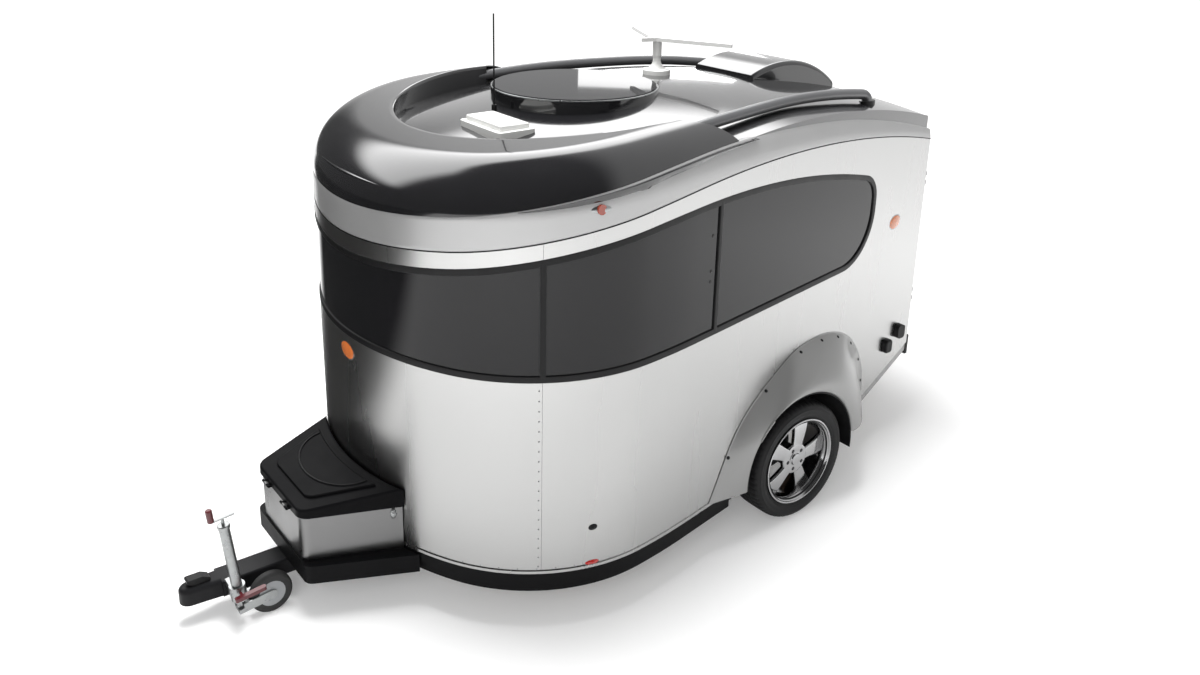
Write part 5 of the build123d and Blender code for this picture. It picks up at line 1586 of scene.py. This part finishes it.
    def fittings(self, palette: Palette) -> None:
        """Builds the lock on each side wall and the low side markers.

        Args:
            palette: The finishes.
        """
        locks, lamps = [], []
        for side in (1, -1):
            place, out = self.on_skin(side * self.run_of(self.lock_spot[0]), self.lock_spot[1])
            locks.append(stud(place, out, self.lock, self.lock_height, sides=20))
            locks.append(stud(place + out * self.barrel_lift, out, self.barrel, self.barrel_height, sides=14))
            place, out = self.on_skin(side * self.run_of(self.marker_spot[0]), self.marker_spot[1])
            lamps.append(stud(place, out, self.marker, self.marker_height, sides=24))
        make_piece("small_fittings", locks, palette, Slot.BLACK_STEEL)
        make_piece("side_markers", lamps, palette, Slot.RED_LENS)

    def foot_trim(self, palette: Palette) -> None:
        """Builds the bright strip round the walls' foot, ahead of the wheel arch.

        Args:
            palette: The finishes.
        """
        front = self.run_of(self.strip_reach)
        run = np.linspace(-front, front, 181)
        z = np.full_like(run, self.form.foot_z + self.strip_lift)
        make_piece("foot_strip", [self.bead(run, z, self.strip_section)], palette, Slot.SKIN)

    def build(self, palette: Palette) -> None:
        """Builds all the trim.

        Args:
            palette: The finishes.
        """
        self.lamp_bases(palette)
        self.skylight_ring(palette)
        self.box_latches(palette)
        self.seam_line(palette)
        self.lid_ridge(palette)
        self.pane_studs(palette)
        self.rivets(palette)
        self.badges(palette)
        self.fittings(palette)
        self.foot_trim(palette)


# ---- stage, light and camera ---------------------------------------------------------------------
def reckon(tree: bpy.types.NodeTree, operation: str, *terms: bpy.types.NodeSocket) -> bpy.types.NodeSocket:
    """Adds a math node.

    Args:
        tree: The node tree.
        operation: What the node works out.
        terms: The sockets it works on.

    Returns:
        Its result.
    """
    node = tree.nodes.new("ShaderNodeMath")
    node.operation = operation
    for socket, term in zip(node.inputs, terms):
        tree.links.new(term, socket)
    return node.outputs["Value"]


def ramp(tree: bpy.types.NodeTree, value: bpy.types.NodeSocket, stops: Ramp) -> bpy.types.NodeSocket:
    """Adds a soft ramp.

    Args:
        tree: The node tree.
        value: The socket it reads.
        stops: Where it starts and ends, and what it gives there.

    Returns:
        Its result.
    """
    node = tree.nodes.new("ShaderNodeMapRange")
    node.interpolation_type = "SMOOTHSTEP"
    for name, stop in zip(("From Min", "From Max", "To Min", "To Max"), stops):
        node.inputs[name].default_value = stop
    tree.links.new(value, node.inputs["Value"])
    return node.outputs["Result"]


@dataclass(frozen=True)
class View:
    """The camera: its place, its aim in degrees, its lens in millimetres and its shift."""

    place: Triple = (3.162, 4.263, 3.258)
    yaw: float = 234.067
    pitch: float = 17.826
    roll: float = -0.758
    lens: float = 32.055
    sensor: float = 36.0
    shift: Pair = (0.0311, -0.1014)

    def build(self) -> None:
        """Makes the camera and sets it as the scene's.

        The aim runs along yaw and down by pitch. The picture's right and down directions are square
        to it and turned about it by roll.
        """
        yaw, pitch, roll = (math.radians(angle) for angle in (self.yaw, self.pitch, self.roll))
        aim = np.array([math.cos(pitch) * math.cos(yaw), math.cos(pitch) * math.sin(yaw), -math.sin(pitch)])
        level = np.array([math.sin(yaw), -math.cos(yaw), 0.0])
        down = np.cross(aim, level)
        right = math.cos(roll) * level + math.sin(roll) * down
        down = -math.sin(roll) * level + math.cos(roll) * down
        data = bpy.data.cameras.new("view")
        data.lens = self.lens
        data.sensor_width = self.sensor
        data.sensor_fit = "HORIZONTAL"
        data.shift_x, data.shift_y = self.shift
        camera = bpy.data.objects.new("view", data)
        axes = np.eye(4)
        axes[:3, 0], axes[:3, 1], axes[:3, 2], axes[:3, 3] = right, -down, -aim, self.place
        camera.matrix_world = Matrix(axes.tolist())
        bpy.context.scene.collection.objects.link(camera)
        bpy.context.scene.camera = camera


@dataclass(frozen=True)
class Lamp:
    """A soft square lamp that stands at a place and faces a target."""

    name: str
    place: Triple
    target: Triple
    size: float
    power: float
    mirrored: bool

    def build(self) -> None:
        """Makes the lamp."""
        data = bpy.data.lights.new(self.name, "AREA")
        data.shape = "SQUARE"
        data.size = self.size
        data.energy = self.power
        lamp = bpy.data.objects.new(self.name, data)
        lamp.location = self.place
        lamp.visible_camera = False
        lamp.visible_glossy = self.mirrored
        lamp.rotation_euler = (Vector(self.target) - Vector(self.place)).to_track_quat("-Z", "Y").to_euler()
        bpy.context.scene.collection.objects.link(lamp)


@dataclass(frozen=True)
class Studio:
    """A pale floor under a plain bright studio.

    A glow, a far mirror and a slope end in the places where a soft ramp starts and ends and what it
    gives there. The dark corner is an axis with its ramp's two ends, twice.
    """

    floor_half: float = 30.0
    floor_color: Triple = (0.86, 0.86, 0.86)
    dark_color: Triple = (0.02, 0.02, 0.02)
    floor_glow: Ramp = (2.5, 6.0, 0.20, 0.80)
    dark_corner: tuple[tuple[str, float, float], ...] = (("X", 0.2, 1.2), ("Y", -0.45, -1.30))
    fill: float = 0.46
    mirror_far: Ramp = (2.3, 6.0, 0.0, 0.95)
    slopes: tuple[tuple[Triple, float, float, float, float], ...] = (
        ((-1.0, 0.0, 0.0), 0.16, 0.44, 0.07, 0.80),
        ((0.0, 0.0, 1.0), 0.42, 0.55, 0.0, 3.8),
        ((0.0, 0.0, 1.0), 0.81, 0.87, 1.0, 0.0),
        ((-0.14, -0.99, 0.0), 0.36, 0.52, 0.0, 1.0),
    )
    lamps: tuple[Lamp, ...] = (
        Lamp("overhead", (0.2, -0.6, 7.5), (0.0, 0.0, 0.0), 3.6, 840.0, False),
        Lamp("front_fill", (6.5, 5.5, 4.5), (0.0, 0.4, 0.9), 5.0, 280.0, False),
        Lamp("back_panel", (-7.0, -7.2, 2.9), (0.0, 0.0, 1.8), 2.6, 75.0, True),
    )

    def world(self) -> None:
        """Makes the world: white to the camera, a studio in mirrors and an even fill light.

        The studio is the first slope plus the product of the others, each a soft ramp on how far a
        direction points along the slope's own.
        """
        world = bpy.data.worlds.new("studio")
        world.use_nodes = True
        tree = world.node_tree
        nodes, links = tree.nodes, tree.links
        nodes.clear()
        place = nodes.new("ShaderNodeTexCoord")
        parts = []
        for way, *stops in self.slopes:
            along = nodes.new("ShaderNodeVectorMath")
            along.operation = "DOT_PRODUCT"
            along.inputs[1].default_value = way
            links.new(place.outputs["Generated"], along.inputs[0])
            parts.append(ramp(tree, along.outputs["Value"], tuple(stops)))
        panel = parts[1]
        for part in parts[2:]:
            panel = reckon(tree, "MULTIPLY", panel, part)
        glow = reckon(tree, "ADD", parts[0], panel)
        path = nodes.new("ShaderNodeLightPath")
        seen = reckon(tree, "MAXIMUM", path.outputs["Is Glossy Ray"], path.outputs["Is Transmission Ray"])
        mirror = nodes.new("ShaderNodeMix")
        mirror.inputs["A"].default_value = self.fill
        links.new(seen, mirror.inputs["Factor"])
        links.new(glow, mirror.inputs["B"])
        direct = nodes.new("ShaderNodeMix")
        direct.inputs["B"].default_value = 1.0
        links.new(path.outputs["Is Camera Ray"], direct.inputs["Factor"])
        links.new(mirror.outputs["Result"], direct.inputs["A"])
        sky = nodes.new("ShaderNodeBackground")
        sky.inputs["Color"].default_value = (1.0, 1.0, 1.0, 1.0)
        links.new(direct.outputs["Result"], sky.inputs["Strength"])
        out = nodes.new("ShaderNodeOutputWorld")
        links.new(sky.outputs["Background"], out.inputs["Surface"])
        bpy.context.scene.world = world

    def dress_floor(self) -> bpy.types.Material:
        """Builds the floor's material: pale, with a glow that rises with distance to the camera's rays.

        In mirrors the corner ahead and to the right is dark, and the rest brightens with distance.

        Returns:
            The material.
        """
        material = bpy.data.materials.new("floor_white")
        material.use_nodes = True
        tree = material.node_tree
        nodes, links = tree.nodes, tree.links
        shader = nodes["Principled BSDF"]
        shader.inputs["Roughness"].default_value = 0.9
        shader.inputs["Specular IOR Level"].default_value = 0.1
        shader.inputs["Emission Color"].default_value = (1.0, 1.0, 1.0, 1.0)
        path = nodes.new("ShaderNodeLightPath")
        place = nodes.new("ShaderNodeTexCoord")
        split = nodes.new("ShaderNodeSeparateXYZ")
        links.new(place.outputs["Object"], split.inputs["Vector"])
        shades = [ramp(tree, split.outputs[axis], (low, high, 0.0, 1.0))
                  for axis, low, high in self.dark_corner]
        mirrored = path.outputs["Is Glossy Ray"]
        dark = reckon(tree, "MULTIPLY", mirrored, reckon(tree, "MULTIPLY", *shades))
        tint = nodes.new("ShaderNodeMix")
        tint.data_type = "RGBA"
        tint.inputs["A"].default_value = (*self.floor_color, 1.0)
        tint.inputs["B"].default_value = (*self.dark_color, 1.0)
        links.new(dark, tint.inputs["Factor"])
        links.new(tint.outputs["Result"], shader.inputs["Base Color"])
        far = nodes.new("ShaderNodeVectorMath")
        far.operation = "LENGTH"
        links.new(place.outputs["Object"], far.inputs[0])
        reach = far.outputs["Value"]
        glow = reckon(tree, "MULTIPLY", path.outputs["Is Camera Ray"], ramp(tree, reach, self.floor_glow))
        lit = reckon(tree, "SUBTRACT", mirrored, dark)
        both = reckon(tree, "MULTIPLY_ADD", lit, ramp(tree, reach, self.mirror_far), glow)
        links.new(both, shader.inputs["Emission Strength"])
        return material

    def floor(self) -> None:
        """Makes the floor that takes the shadow."""
        corner = np.array([-1.0, 1.0]) * self.floor_half
        x, y = np.meshgrid(corner, corner)
        mesh = bpy.data.meshes.new("floor")
        mesh.from_pydata(np.stack([x.ravel(), y.ravel(), np.zeros(4)], 1).tolist(), [], [(0, 1, 3, 2)])
        mesh.materials.append(self.dress_floor())
        floor = bpy.data.objects.new("floor", mesh)
        bpy.context.scene.collection.objects.link(floor)

    def build(self) -> None:
        """Makes the world, the floor and the lamps, and sets the plain view transform."""
        bpy.context.scene.view_settings.view_transform = "Standard"
        self.world()
        self.floor()
        for lamp in self.lamps:
            lamp.build()


def main() -> None:
    """Builds the stage and every sub-assembly in order."""
    logging.basicConfig(level=logging.INFO, format="%(name)s: %(message)s")
    View().build()
    Studio().build()
    palette = Palette(FINISHES)
    palette.dress_frame()
    form = BodyForm()
    band = WindowBand(form)
    Walls(form, band).build(palette)
    Glazing(form, band).build(palette)
    Roof(form).build(palette)
    Fender(form).build(palette)
    Tyre().build(palette)
    Rim().build(palette)
    RoofRails().build(palette)
    Trim(form, band).build(palette)


if __name__ == "__main__":
    main()
